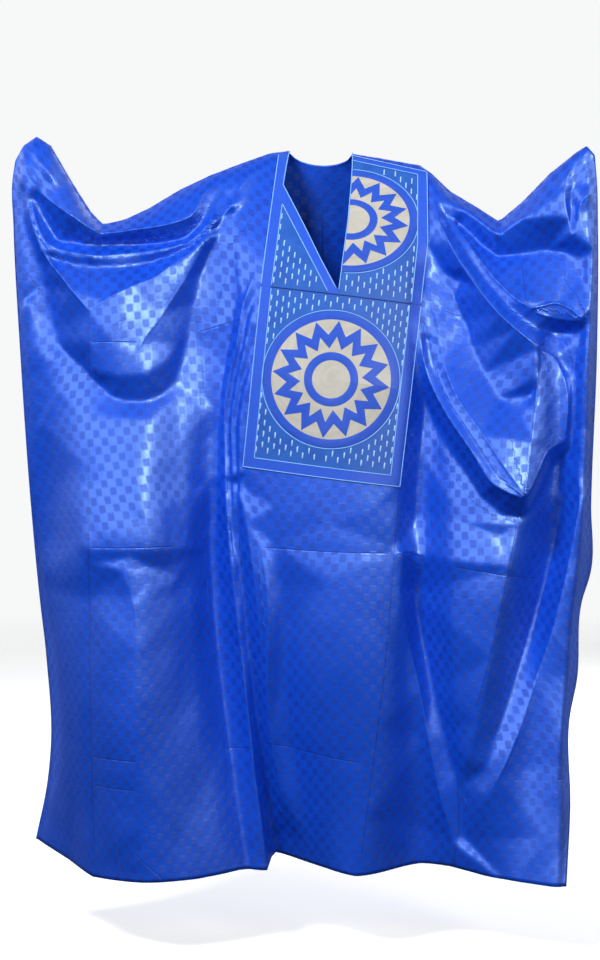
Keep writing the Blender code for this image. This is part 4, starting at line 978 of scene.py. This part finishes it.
def woven_panel(name, colour, mottle_and_sheen, thread, roughness):
    """A plain dense weave or satin stitch: fine ribs along the warp and a lighter mottle, which on silver
    thread is a painted sheen.
    """
    n = Nodes(name)
    cloth = n.attribute("cloth")[0]
    patch = n.noise(cloth, 34.0, 3.0)
    base = n.blend(n.math("MULTIPLY_ADD", patch, 1.5, -0.35, clamp=True), colour, mottle_and_sheen)
    rib = n.waves(cloth, thread, "DIAGONAL", 1.2)
    base = n.blend(n.math("MULTIPLY", rib, 0.22), base, tuple(0.62 * c for c in colour))
    n.put(n.shader.inputs["Base Color"], base)
    n.put(n.shader.inputs["Roughness"], n.math("MULTIPLY_ADD", patch, 0.18, roughness - 0.09))
    soft = n.bump(n.noise(cloth, 60.0, 2.0), 0.0008, 0.4)
    n.put(n.shader.inputs["Normal"], n.bump(rib, 0.00018, 0.6, soft))
    n.shader.inputs["Sheen Weight"].default_value = 0.15
    n.shader.inputs["Sheen Roughness"].default_value = 0.45
    return n.material


DAMASK = damask("glazed damask", (0.0036, 0.0620, 0.5600), (0.0012, 0.0270, 0.3300))
PANEL = woven_panel("panel ground", (0.0110, 0.0700, 0.3500), (0.0230, 0.1250, 0.4900), 150.0, 0.55)
STRIP = woven_panel("strip cloth", (0.0150, 0.0760, 0.5200), (0.0210, 0.0930, 0.5800), 210.0, 0.48)
STAR = woven_panel("star thread", (0.0130, 0.0670, 0.4700), (0.0190, 0.0860, 0.5400), 320.0, 0.45)
# The silver's lighter second colour is a painted sheen in patches over the thread.
SILVER = woven_panel("silver thread", (0.4000, 0.3850, 0.3400), (0.5600, 0.5350, 0.4750), 300.0, 0.36)
LIGHT_LINE = woven_panel("light edging", (0.1700, 0.4000, 0.9000), (0.2600, 0.5000, 0.9400), 400.0, 0.45)
DASH_THREAD = woven_panel("dash thread", (0.3400, 0.5600, 0.8800), (0.4600, 0.6600, 0.9200), 400.0, 0.45)
# Colour of the dark cord along the pocket mouth: painted shade where the pocket's top edge meets the panel.
SHADE_LINE = woven_panel("pocket mouth shade", (0.0040, 0.0180, 0.1500), (0.0060, 0.0260, 0.2000), 400.0, 0.60)


# The front shell: two grids that share their inner columns below the foot of the neck opening.
def sheet_grid(x, z, sheet):
    """A sheet's points at a grid of places, and what its material reads: cloth, crease and lip."""
    y, line, weight = sheet_depth(x, z, sheet)
    u, v = grain(x, z, sheet)
    none = np.zeros(x.shape)
    away, height = lips(x, z) if sheet is FRONT else (none, none)
    table = ((x, y, z), (u, v, none), (line, weight, none), (away, height, none))
    return [np.stack(row, -1).reshape(-1, 3) for row in table]


def shell(name, points, normals, quads, reads, material):
    """A thin body from a sheet's outer points. reads is what its material reads at each of them."""
    used = np.unique(quads)
    fresh = np.zeros(len(points), dtype=int)
    fresh[used] = np.arange(len(used))
    points, normals = points[used], normals[used]
    uv, crease, lip = (values[used] for values in reads)
    attributes = (("cloth", np.concatenate([uv, uv])), ("crease", np.concatenate([crease, crease])),
                  ("lip", np.concatenate([lip, 0 * lip])))
    both = np.concatenate([points, points - CLOTH * normals])
    return add_object(name, both, closed(fresh[quads].tolist(), len(points)), material, attributes)


rows = len(FRONT_ROWS)
LEFT_SHARES = graded((0.0, 0.62, 0.80, 1.0), (66, 32, 14))
RIGHT_SHARES = graded((0.0, 0.33, 1.0), (22, 74))
LEFT_STARTS = TOP_LINE[0].across + (NECK_LEFT - TOP_LINE[0].across) * LEFT_SHARES
RIGHT_STARTS = NECK_RIGHT + (TOP_LINE[-1].across - NECK_RIGHT) * RIGHT_SHARES
left_side = side_line(LEFT_EDGE, TOP_LINE[0], FRONT_HEM[0].height, FRONT_ROWS)
right_side = side_line(RIGHT_EDGE, TOP_LINE[-1], FRONT_HEM[-1].height, FRONT_ROWS)
left_neck = neck_line("left", NECK[0].height, FRONT_ROWS)
right_neck = neck_line("right", NECK_RIGHT_TOP, FRONT_ROWS)
left_x, left_z = grid_places(LEFT_STARTS, left_side, left_neck, FRONT_HEM, FRONT_ROWS)
right_x, right_z = grid_places(RIGHT_STARTS, right_side, right_neck, FRONT_HEM, FRONT_ROWS)
right_x[0, FOOT_ROW:] = left_x[-1, FOOT_ROW:]
right_z[0, FOOT_ROW:] = left_z[-1, FOOT_ROW:]
halves = (sheet_grid(left_x, left_z, FRONT), sheet_grid(right_x, right_z, FRONT))
front, *front_reads = [np.concatenate(pair) for pair in zip(*halves)]
first_right = len(LEFT_STARTS) * rows
right_quads = quads_of(len(RIGHT_STARTS), rows, first_right)
front_quads = np.concatenate([quads_of(len(LEFT_STARTS), rows), right_quads])
target = np.arange(len(front))
target[first_right + np.arange(FOOT_ROW, rows)] = first_right - rows + np.arange(FOOT_ROW, rows)
front_quads = target[front_quads]
front_normals = normals_of(front, front_quads)
edge_rows = np.arange(rows)
rim_normals(front_normals, front, edge_rows, (-1, 0, 0), LEFT_EDGE)
rim_normals(front_normals, front, len(front) - rows + edge_rows, (1, 0, 0), RIGHT_EDGE)
rim_normals(front_normals, front, np.arange(len(LEFT_STARTS)) * rows, (0, 0, 1))
rim_normals(front_normals, front, first_right + np.arange(len(RIGHT_STARTS)) * rows, (0, 0, 1))
front_cloth = shell("front_cloth", front, front_normals, front_quads, front_reads, DAMASK)

BACK_COLUMNS = 150
rows = len(BACK_ROWS)
back_starts = np.linspace(TOP_LINE[0].across, TOP_LINE[-1].across, BACK_COLUMNS)
back, *back_reads = sheet_grid(*back_places(back_starts, BACK_ROWS), BACK)
back_quads = quads_of(BACK_COLUMNS, rows)[:, ::-1]
back_normals = normals_of(back, back_quads)
edge_rows = np.arange(rows)
rim_normals(back_normals, back, edge_rows, (-1, 0, 0), LEFT_EDGE)
rim_normals(back_normals, back, len(back) - rows + edge_rows, (1, 0, 0), RIGHT_EDGE)
for on_arm in (back_starts < NECK_LEFT, back_starts > NECK_RIGHT):
    rim_normals(back_normals, back, np.flatnonzero(on_arm) * rows, (0, 0, 1))
back_cloth = shell("back_cloth", back, back_normals, back_quads, back_reads, DAMASK)

# The panel, cut out of the front's own faces and moved outward.
NECK_PANEL = ((-0.0785, -0.0040), (0.0600, -0.0080), (0.2185, -0.0437), (0.2160, -0.1900),
              (0.2010, -0.3095), (-0.1125, -0.2715))
GROUND_LEFT = ((-0.0708, -0.1094), (0.0185, -0.2874), (0.0180, -0.3500), (-0.1014, -0.3500))
GROUND_RIGHT = ((0.0300, -0.0140), (0.0660, -0.0180), (0.1980, -0.0475), (0.1950, -0.1880),
                (0.1770, -0.3400), (0.0300, -0.3400))
POCKET = ((-0.1125, -0.2718), (0.2010, -0.3098), (0.1580, -0.6640), (-0.1480, -0.6260))
POCKET_GROUND = ((-0.0880, -0.2400), (0.1836, -0.2600), (0.1394, -0.6406), (-0.1247, -0.6078))
OUT = np.array((0.0, -0.900, 0.436))
# How far out from the front each layer starts and ends.
NECK_LAYER = (0.0005, 0.0011)
POCKET_LAYER = (0.0005, 0.0014)
STRIP_LAYER = (0.0014, 0.0023)
POCKET_STRIP_LAYER = (0.0017, 0.0026)
AROUND_PANEL = ((-0.17, -1.0, -0.70), (0.24, 0.05, 1.0))
near_panel = ((front > AROUND_PANEL[0]) & (front < AROUND_PANEL[1])).all(axis=1)
panel_quads = front_quads[near_panel[front_quads].all(axis=1)]


def side_lines(corners):
    """Each side of a polygon given clockwise, as a point and its inward direction."""
    corners = [Vector(c) for c in corners]
    lines = []
    for a, b in zip(corners, corners[1:] + corners[:1]):
        along = (b - a).normalized()
        lines.append((a, Vector((along.y, -along.x))))
    return lines


def cut_along(shape, line, keep_inside):
    point, inward = line
    geom = list(shape.verts) + list(shape.edges) + list(shape.faces)
    bmesh.ops.bisect_plane(shape, geom=geom, dist=1e-6, plane_co=(point.x, 0.0, point.y),
                           plane_no=(inward.x, 0.0, inward.y), clear_inner=keep_inside)


def front_patch(keep):
    shape = bmesh.new()
    used = np.unique(panel_quads)
    verts = {v: shape.verts.new(front[v]) for v in used}
    for quad in panel_quads:
        shape.faces.new([verts[v] for v in quad])
    for line in side_lines(keep):
        cut_along(shape, line, True)
    return shape


def drop_faces(shape, unwanted):
    lines = side_lines(unwanted)
    for line in lines:
        cut_along(shape, line, False)
    gone = []
    for face in shape.faces:
        middle = face.calc_center_median()
        place = Vector((middle.x, middle.z))
        if all((place - point).dot(inward) > 0 for point, inward in lines):
            gone.append(face)
    bmesh.ops.delete(shape, geom=gone, context="FACES")


def raise_patch(name, shape, layer, material):
    """A patch made into a thin body between two distances out from the front."""
    low, high = layer
    bmesh.ops.remove_doubles(shape, verts=shape.verts, dist=2e-5)
    shape.verts.index_update()
    points = np.array([tuple(v.co) for v in shape.verts])
    faces = [[v.index for v in face.verts] for face in shape.faces]
    shape.free()
    both = np.concatenate([points + OUT * high, points + OUT * low])
    uv = np.stack([both[:, 0], both[:, 2], 0 * both[:, 0]], 1)
    item = add_object(name, both, closed(faces, len(points)), material, (("cloth", uv),))
    sharpen(item)
    return item


def sharpen(item):
    """Keeps the shading crisp where a body's rim meets its faces."""
    item.data.set_sharp_from_angle(angle=0.9)


def keep_side(shape, direction):
    cut_along(shape, (NECK_FOOT, Vector((direction, 0.0))), True)
    return shape


neck_panel_cloth = raise_patch("neck_panel_cloth", front_patch(NECK_PANEL), NECK_LAYER, PANEL)
pocket_cloth = raise_patch("pocket_cloth", front_patch(POCKET), POCKET_LAYER, PANEL)
left_shape = keep_side(front_patch(NECK_PANEL), -1)
drop_faces(left_shape, GROUND_LEFT)
left_strip = raise_patch("left_strip", left_shape, STRIP_LAYER, STRIP)
right_shape = keep_side(front_patch(NECK_PANEL), 1)
drop_faces(right_shape, GROUND_RIGHT)
right_strip = raise_patch("right_strip", right_shape, STRIP_LAYER, STRIP)
pocket_shape = front_patch(POCKET)
drop_faces(pocket_shape, POCKET_GROUND)
pocket_strip = raise_patch("pocket_strip", pocket_shape, POCKET_STRIP_LAYER, STRIP)


def on_front(x, z, out):
    """Points on the front at the places (x, z), moved outward."""
    x, z, out = np.broadcast_arrays(np.asarray(x, float), np.asarray(z, float), np.asarray(out, float))
    y = sheet_depth(x, z, FRONT)[0]
    return np.stack([x, y, z], -1) + out[..., None] * OUT


def resample(path, step):
    points = np.array(path, float)
    lengths = np.linalg.norm(np.diff(points, axis=0), axis=1)
    parts = []
    for a, b, length in zip(points, points[1:], lengths):
        count = max(1, int(round(length / step)))
        parts.append(a + (b - a) * np.linspace(0, 1, count, endpoint=False)[:, None])
    return np.concatenate(parts + [points[-1:]])


CORD_SIDES = 6
CORD_STEP = 0.004
CORD_FLATNESS = 0.7


def cord_parts(path, out, radius, loop=False):
    """A thin cord laid along a path on the front: points, faces and its own coordinates."""
    sides = CORD_SIDES
    flat = resample(path, CORD_STEP)
    if loop:
        flat = flat[:-1]
    centre = on_front(flat[:, 0], flat[:, 1], out)
    if loop:
        tangent = np.roll(centre, -1, axis=0) - np.roll(centre, 1, axis=0)
    else:
        tangent = np.gradient(centre, axis=0)
    tangent /= np.linalg.norm(tangent, axis=1, keepdims=True)
    side = np.cross(tangent, OUT)
    side /= np.linalg.norm(side, axis=1, keepdims=True)
    up = np.cross(side, tangent)
    turn = np.arange(sides) * 2 * math.pi / sides
    ring = np.cos(turn)[:, None] * side[:, None, :] + CORD_FLATNESS * np.sin(turn)[:, None] * up[:, None, :]
    points = (centre[:, None, :] + radius * ring).reshape(-1, 3)
    count = len(centre)
    faces = []
    for i in range(count if loop else count - 1):
        for k in range(sides):
            a, b = i * sides + k, i * sides + (k + 1) % sides
            c, d = ((i + 1) % count) * sides + (k + 1) % sides, ((i + 1) % count) * sides + k
            faces.append((a, d, c, b))
    if not loop:
        faces.append(tuple(range(sides)))
        faces.append(tuple(reversed(range((count - 1) * sides, count * sides))))
    length = np.repeat(np.arange(count) * CORD_STEP, sides)
    uv = np.stack([length, np.tile(turn * radius, count), 0 * length], 1)
    return points, faces, uv


def gather(name, parts, material):
    """Many small bodies as one piece."""
    points, faces, uvs, first = [], [], [], 0
    for part_points, part_faces, uv in parts:
        points.append(part_points)
        uvs.append(uv)
        faces += [tuple(v + first for v in f) for f in part_faces]
        first += len(part_points)
    return add_object(name, np.concatenate(points), faces, material, (("cloth", np.concatenate(uvs)),))


# The light edgings are cords of this radius, laid on the strips this far out from the front. Those along the
# neck opening start a little below the top fold.
LINE = 0.0010
ON_STRIP = 0.0024
ON_POCKET_STRIP = 0.0027
BELOW_TOP = 0.004


def neck_edge(name, aside):
    return [(getattr(row, name) + aside, row.height - BELOW_TOP * (i == 0)) for i, row in enumerate(NECK)]


left_lines = (
    ((-0.0785, -0.0060), (-0.1120, -0.2690)),
    ((-0.0915, -0.2715), (-0.0708, -0.1094), (0.0175, -0.2840)),
    neck_edge("left", -0.0012)[:-1] + [(0.0330, -0.2765)],
)
right_lines = (
    ((0.0700, -0.0080), (0.2165, -0.0420), (0.2150, -0.1900), (0.2002, -0.3060)),
    ((0.0700, -0.0190), (0.1980, -0.0475), (0.1950, -0.1880), (0.1812, -0.3045)),
    neck_edge("right", 0.0012),
)
pocket_lines = (
    ((-0.1118, -0.2750), (-0.1472, -0.6252), (0.1574, -0.6630), (0.2000, -0.3130)),
    ((-0.0920, -0.2780), (-0.1247, -0.6078), (0.1394, -0.6406), (0.1776, -0.3110)),
)
left_edging, right_edging, pocket_edging = (
    gather(name, [cord_parts(path, out, LINE) for path in paths], LIGHT_LINE)
    for name, paths, out in (("left_edging", left_lines, ON_STRIP), ("right_edging", right_lines, ON_STRIP),
                             ("pocket_edging", pocket_lines, ON_POCKET_STRIP)))
# A dark cord along the pocket mouth, a painted shade line where the pocket's top edge overlaps the panel.
POCKET_MOUTH = ((-0.1120, -0.2722), (0.2005, -0.3100))
pocket_mouth_shade = gather("pocket_mouth_shade", [cord_parts(POCKET_MOUTH, 0.0018, 0.0011)], SHADE_LINE)

# Medallions: silver fields with a ring, a zigzag star and an inner ring on them.
Disc = namedtuple("Disc", "across height low high")
POCKET_DISC = Disc(0.0240, -0.4550, 1.00, 1.00)
NECK_DISC = Disc(0.0640, -0.1400, 0.81, 0.76)
RING_OUTER, RING_INNER = 0.1310, 0.1160
STAR_TIP, STAR_VALLEY = 0.1140, 0.0860
STAR_INNER_TIP, STAR_INNER_VALLEY = 0.0835, 0.0597
HUB_OUTER, HUB_INNER = 0.0525, 0.0370
STAR_POINTS = 16
STAR_TURN = math.radians(-8.0)
OUTLINE = 0.1340


def squash(disc, up):
    """How much flatter than a circle the disc is below or above its middle."""
    return np.where(np.asarray(up) > 0, disc.high, disc.low)


def neck_side(z):
    return np.interp(-z, -column(NECK, "height"), column(NECK, "right"))


NECK_MARGIN = 0.0015


def polar_band(disc, inner, outer, low, high, turn_steps, radial_steps, dome, cut):
    """A band between two outlines r(turn) as a thin body; cut keeps what lies right of the neck opening."""
    turns = np.arange(turn_steps) * 2 * math.pi / turn_steps + STAR_TURN
    shares = np.linspace(0, 1, radial_steps + 1)
    radius = inner(turns)[:, None] * (1 - shares) + outer(turns)[:, None] * shares
    x = disc.across + radius * np.cos(turns)[:, None]
    z = disc.height + squash(disc, np.sin(turns))[:, None] * radius * np.sin(turns)[:, None]
    heights = np.broadcast_to(high + dome * (1 - (2 * shares - 1) ** 2), x.shape)
    shape = bmesh.new()
    layer = shape.verts.layers.float.new("out")
    around = shape.verts.layers.float.new("around")
    wheel = []
    for i in range(turn_steps):
        spoke = []
        for j in range(radial_steps + 1):
            aside = neck_side(z[i, j]) if cut else 0.0
            vert = shape.verts.new((x[i, j] - aside, 0.0, z[i, j]))
            vert[layer] = heights[i, j]
            vert[around] = turns[i] * radius[i, j]
            spoke.append(vert)
        wheel.append(spoke)
    for i in range(turn_steps):
        a, b = wheel[i], wheel[(i + 1) % turn_steps]
        for j in range(radial_steps):
            corners = [a[j], b[j], b[j + 1], a[j + 1]]
            if corners[0].co == corners[1].co:
                corners = corners[1:]
            shape.faces.new(corners)
    bmesh.ops.remove_doubles(shape, verts=shape.verts, dist=1e-5)
    if cut:
        cut_along(shape, (Vector((NECK_MARGIN, 0.0)), Vector((1.0, 0.0))), True)
    shape.verts.index_update()
    flat = np.array([(v.co.x + (neck_side(v.co.z) if cut else 0.0), v.co.z, v[layer], v[around])
                     for v in shape.verts])
    faces = [[v.index for v in face.verts] for face in shape.faces]
    a, b, c = flat[faces[0][:3], :2]
    if cross(b - a, c - a) < 0:
        faces = [face[::-1] for face in faces]
    shape.free()
    top = on_front(flat[:, 0], flat[:, 1], flat[:, 2])
    bottom = on_front(flat[:, 0], flat[:, 1], low)
    reach = np.hypot(flat[:, 0] - disc.across, flat[:, 1] - disc.height)
    uv = np.stack([flat[:, 3], reach, 0 * reach], 1)
    return np.concatenate([top, bottom]), closed(faces, len(flat)), np.concatenate([uv, uv])


def constant(value):
    return lambda turns: np.full(len(turns), value)


def zigzag(tip, valley):
    """Tips at the turns 0, 1/16, 2/16 ... of a full turn, straight lines between them as seen flat."""
    def outline(turns):
        phase = ((turns - STAR_TURN) * STAR_POINTS / (2 * math.pi)) % 1.0
        part = np.abs(2 * phase - 1)
        half = math.pi / STAR_POINTS
        angle = (1 - part) * half
        # The straight edge from the tip to the valley, read at the angle.
        edge = valley * np.array([math.cos(half), math.sin(half)]) - (tip, 0.0)
        return cross((tip, 0.0), edge) / cross((np.cos(angle), np.sin(angle)), edge)
    return outline


STITCH = 0.0006
RAISED = 0.0004
UNDER_RING = 0.003
RING_HIGH, RING_DOME = 0.0009, 0.0007


def medallion(prefix, disc, cut, base):
    """The pieces of one medallion, from the field up: the field, its rings and its star."""
    def band(inner, outer, low, high, dome, turn_steps, radial_steps=4):
        return polar_band(disc, inner, outer, low, high, turn_steps, radial_steps, dome, cut)

    on_field = base + STITCH
    top = on_field + RAISED
    field = band(constant(1e-6), constant(RING_INNER + UNDER_RING), base, on_field, 0.0, 96, 12)
    ring = band(constant(RING_INNER), constant(RING_OUTER), base, base + RING_HIGH, RING_DOME, 96)
    hub = band(constant(HUB_INNER), constant(HUB_OUTER), on_field, top, STITCH, 64)
    inner, outer = zigzag(STAR_INNER_TIP, STAR_INNER_VALLEY), zigzag(STAR_TIP, STAR_VALLEY)
    star = band(inner, outer, on_field, top, STITCH, STAR_POINTS * 8)
    pieces = (gather(prefix + "_field", [field], SILVER), gather(prefix + "_rings", [ring, hub], STAR),
              gather(prefix + "_star", [star], STAR))
    for item in pieces:
        sharpen(item)
    return pieces


pocket_pieces = medallion("pocket_medallion", POCKET_DISC, False, POCKET_STRIP_LAYER[0])
neck_pieces = medallion("neck_medallion", NECK_DISC, True, STRIP_LAYER[0])


def circle_path(disc, radius, start, end, steps=120):
    turns = np.linspace(start, end, steps)
    return [(disc.across + radius * math.cos(t),
             disc.height + float(squash(disc, math.sin(t))) * radius * math.sin(t)) for t in turns]


full = circle_path(POCKET_DISC, OUTLINE, 0, 2 * math.pi)
HALF_TURN = math.pi / 2 + 0.1
half = [p for p in circle_path(NECK_DISC, OUTLINE, -HALF_TURN, HALF_TURN)
        if p[0] > neck_side(p[1]) + 0.002 and p[1] < -0.030]
pocket_outline = gather("pocket_medallion_outline", [cord_parts(full, 0.0019, LINE, loop=True)], LIGHT_LINE)
neck_outline = gather("neck_medallion_outline", [cord_parts(half, 0.0016, LINE)], LIGHT_LINE)

# Dashes embroidered on the ground in staggered columns.
DASH_PITCH, DASH_ROW = 0.0115, 0.0212
DASH_LONG, DASH_WIDE, DASH_HIGH = 0.0064, 0.0017, 0.0009
DASH_TIP, DASH_RIDGE = 0.0012, 0.0013
# How clear the dashes stay of the strips' sides, of the outline and of the two sides of the neck opening.
OFF_STRIP, OFF_OUTLINE = 0.0012, 0.002
OFF_NECK_LEFT, OFF_NECK_RIGHT = 0.024, 0.004


def clear_of(polygon, x, z, margin):
    """True inside a clockwise polygon, at least the margin from its sides."""
    place = Vector((x, z))
    return all((place - point).dot(inward) > margin for point, inward in side_lines(polygon))


def free_for_dash(x, z, grounds, disc, neck):
    """True where a dash may end: on the ground, and clear of the medallion and the neck opening's strips."""
    if not any(clear_of(ground, x, z, OFF_STRIP) for ground in grounds):
        return False
    if neck and z > NECK_FOOT[1]:
        left = np.interp(-z, -column(NECK, "height"), column(NECK, "left"))
        if left - OFF_NECK_LEFT < x < neck_side(z) + OFF_NECK_RIGHT:
            return False
    up = z - disc.height
    return math.hypot(x - disc.across, up / float(squash(disc, up))) >= OUTLINE + OFF_OUTLINE


def dash_places(corners, grounds, disc, neck=False):
    """Dashes on a lattice across a four-cornered panel: six points round each foot, two on each ridge."""
    a, b, c, d = (np.array(p) for p in corners)
    wide = (np.linalg.norm(b - a) + np.linalg.norm(c - d)) / 2
    tall = (np.linalg.norm(d - a) + np.linalg.norm(c - b)) / 2
    places = []
    for i in range(1, int(wide / DASH_PITCH) + 1):
        for j in range(0, int(tall / DASH_ROW) + 1):
            s = i * DASH_PITCH / wide
            t = (j + (0.5 if i % 2 else 0.0)) * DASH_ROW / tall
            if not (0 < t < 1 and s < 1):
                continue
            place = a * (1 - s) * (1 - t) + b * s * (1 - t) + c * s * t + d * (1 - s) * t
            along = (d - a) * (1 - s) + (c - b) * s
            along = along / np.linalg.norm(along)
            ends = [place - along * DASH_LONG, place + along * DASH_LONG]
            if not all(free_for_dash(x, z, grounds, disc, neck) for x, z in ends):
                continue
            across = np.array((-along[1], along[0])) * DASH_WIDE
            foot = []
            for end, way in ((ends[0], 1), (ends[1], -1)):
                shoulder = end + way * along * DASH_TIP
                foot += [shoulder - way * across, end, shoulder + way * across]
            places.append(foot + [ends[0] + along * DASH_RIDGE, ends[1] - along * DASH_RIDGE])
    return np.array(places)


DASH_FACES = ((0, 1, 6), (1, 2, 6), (2, 3, 7, 6), (3, 4, 7), (4, 5, 7), (5, 0, 6, 7), (5, 4, 3, 2, 1, 0))


def dashes(name, places, base):
    points = on_front(places[..., 0], places[..., 1], base + DASH_HIGH * np.array([0, 0, 0, 0, 0, 0, 1, 1]))
    uv = np.concatenate([places, 0 * places[..., :1]], axis=-1)
    return gather(name, [(own, DASH_FACES, read) for own, read in zip(points, uv)], DASH_THREAD)


NECK_CORNERS = ((-0.0785, -0.0040), (0.2185, -0.0437), (0.2010, -0.3095), (-0.1125, -0.2715))
NECK_GROUNDS = (((-0.0708, -0.1094), (0.0185, -0.2874), (-0.0915, -0.2740)),
                ((0.0300, -0.0140), (0.0660, -0.0180), (0.1980, -0.0475), (0.1950, -0.1880),
                 (0.1812, -0.3070), (0.0300, -0.2885)))
POCKET_FIELD = ((-0.0915, -0.2745), (0.1780, -0.3070), (0.1394, -0.6406), (-0.1247, -0.6078))
neck_dashes = dashes("neck_dashes", dash_places(NECK_CORNERS, NECK_GROUNDS, NECK_DISC, neck=True), 0.0010)
pocket_dashes = dashes("pocket_dashes", dash_places(POCKET, (POCKET_FIELD,), POCKET_DISC), 0.0013)

# What rides, and what replaces a part of the model.
ROOT = "root"
REPLACED = ((front_cloth, "front_body", "blue_damask"), (back_cloth, "back_body", "blue_damask"),
            (neck_panel_cloth, "neck_panel", "panel_cloth"), (pocket_cloth, "chest_pocket", "panel_cloth"),
            (left_strip, "left_border", "border_cloth"), (right_strip, "right_border", "border_cloth"),
            (pocket_strip, "pocket_border", "border_cloth"),
            (pocket_pieces[0], "pocket_medallion", "silver_thread"),
            (neck_pieces[0], "neck_medallion", "silver_thread"))
for item, node, slot in REPLACED:
    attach(item, ROOT)
    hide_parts(node)
for item in (pocket_pieces[1], pocket_pieces[2], neck_pieces[1], neck_pieces[2], pocket_mouth_shade):
    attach(item, ROOT)
for item in (left_edging, right_edging, pocket_edging, pocket_outline, neck_outline, neck_dashes,
             pocket_dashes):
    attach(item, ROOT)

# Camera, floor and light.
camera_data = bpy.data.cameras.new("camera")
camera_data.lens = 93.75
camera_data.sensor_width = 36.0
camera_data.shift_y = -0.107
camera = bpy.data.objects.new("camera", camera_data)
camera.location = (-0.036, -5.0, -0.45)
camera.rotation_euler = (math.pi / 2, 0.0, 0.0)
bpy.context.scene.collection.objects.link(camera)
bpy.context.scene.camera = camera

# The floor is a disc that grows clear towards its edge, so that it ends without a line.
FLOOR = -1.585
FLOOR_REACH = 9.0
FLOOR_SIDES = 96
n = Nodes("pale floor")
place = n.new("ShaderNodeTexCoord")
mottle = n.noise(place.outputs["Object"], 1.3, 3.0)
n.put(n.shader.inputs["Base Color"], n.blend(mottle, (0.86, 0.87, 0.88), (0.90, 0.90, 0.91)))
n.shader.inputs["Roughness"].default_value = 0.75
n.shader.inputs["Emission Color"].default_value = (1.0, 1.0, 1.0, 1.0)
n.shader.inputs["Emission Strength"].default_value = 0.30
reach = n.new("ShaderNodeVectorMath", operation="LENGTH")
n.put(reach.inputs[0], place.outputs["Object"])
n.put(n.shader.inputs["Alpha"], n.math("MULTIPLY_ADD", reach.outputs["Value"], -1 / 5.0, 1.45, clamp=True))
turns = np.arange(FLOOR_SIDES) * 2 * math.pi / FLOOR_SIDES
floor_points = [(FLOOR_REACH * math.cos(t), FLOOR_REACH * math.sin(t), FLOOR) for t in turns]
floor_points.insert(0, (0.0, 0.0, FLOOR))
floor_faces = [(0, 1 + k, 1 + (k + 1) % FLOOR_SIDES) for k in range(FLOOR_SIDES)]
floor = add_object("floor", floor_points, floor_faces, n.material, (), False)
floor.visible_diffuse = False
floor.visible_glossy = False

world = bpy.data.worlds.new("studio")
bpy.context.scene.world = world
world.use_nodes = True
wired = world.node_tree
wired.nodes.remove(wired.nodes["Background"])

# Light from each height above or below, from -1 straight down to 1 straight up: one table for soft light and
# one for what the gloss shows.
Sky = namedtuple("Sky", "up value")
SOFT_SKY = (Sky(-1.00, 0.08), Sky(-0.10, 0.26), Sky(0.10, 0.50), Sky(0.30, 0.40), Sky(1.00, 0.10))
GLOSS_SKY = (Sky(-1.00, 0.00), Sky(-0.40, 0.01), Sky(-0.15, 0.28), Sky(-0.02, 0.80), Sky(0.08, 1.70),
             Sky(0.18, 3.40), Sky(0.34, 3.40), Sky(0.52, 0.90), Sky(1.00, 0.20))
SKY_TOP = 4.0


def multiply_add(value, factor, add):
    node = wired.nodes.new("ShaderNodeMath")
    node.operation = "MULTIPLY_ADD"
    node.inputs[1].default_value = factor
    node.inputs[2].default_value = add
    wired.links.new(value, node.inputs[0])
    return node.outputs[0]


def sky(table, behind):
    """A sky by height, weaker behind the robe than in front of it."""
    place = wired.nodes.new("ShaderNodeTexCoord")
    split = wired.nodes.new("ShaderNodeSeparateXYZ")
    ramp = wired.nodes.new("ShaderNodeValToRGB")
    stops = ramp.color_ramp.elements
    while len(stops) < len(table):
        stops.new(0.5)
    for stop, step in zip(stops, table):
        stop.position = 0.5 * step.up + 0.5
        value = step.value / SKY_TOP
        stop.color = (0.94 * value, 0.97 * value, value, 1.0)
    wired.links.new(place.outputs["Generated"], split.inputs[0])
    wired.links.new(multiply_add(split.outputs[2], 0.5, 0.5), ramp.inputs[0])
    back = wired.nodes.new("ShaderNodeBackground")
    wired.links.new(ramp.outputs[0], back.inputs["Color"])
    half = (1 - behind) / 2
    strength = multiply_add(split.outputs[1], -half * SKY_TOP, (1 - half) * SKY_TOP)
    wired.links.new(strength, back.inputs["Strength"])
    return back.outputs[0]


def either(factor, first, second):
    node = wired.nodes.new("ShaderNodeMixShader")
    for socket, value in zip(node.inputs, (factor, first, second)):
        wired.links.new(value, socket)
    return node.outputs[0]


ray = wired.nodes.new("ShaderNodeLightPath")
light = either(ray.outputs["Is Glossy Ray"], sky(SOFT_SKY, 1.0), sky(GLOSS_SKY, 0.45))
plain = wired.nodes.new("ShaderNodeBackground")
plain.inputs["Color"].default_value = (0.930, 0.938, 0.938, 1.0)
shown = either(ray.outputs["Is Camera Ray"], light, plain.outputs[0])
wired.links.new(shown, wired.nodes["World Output"].inputs[0])

Lamp = namedtuple("Lamp", "name place aim wide tall power gloss")
LAMPS = (
    Lamp("key", (-2.2, -3.9, 3.1), (0.0, -0.1, -0.8), 1.4, 1.0, 385, False),
    Lamp("right fill", (3.0, -4.0, 0.9), (0.1, 0.0, -0.7), 1.2, 1.8, 80, True),
    Lamp("back", (1.8, 3.9, 1.2), (0.0, 0.0, -0.7), 1.6, 1.2, 190, False),
)
for lamp in LAMPS:
    data = bpy.data.lights.new(lamp.name, "AREA")
    data.shape = "RECTANGLE"
    data.size = lamp.wide
    data.size_y = lamp.tall
    data.energy = lamp.power
    item = bpy.data.objects.new(lamp.name, data)
    item.visible_glossy = lamp.gloss
    item.location = lamp.place
    item.rotation_euler = (Vector(lamp.aim) - Vector(lamp.place)).to_track_quat("-Z", "Y").to_euler()
    bpy.context.scene.collection.objects.link(item)

view = bpy.context.scene.view_settings
view.view_transform = "Standard"
view.look = "None"
view.exposure = 0.0
view.gamma = 1.0
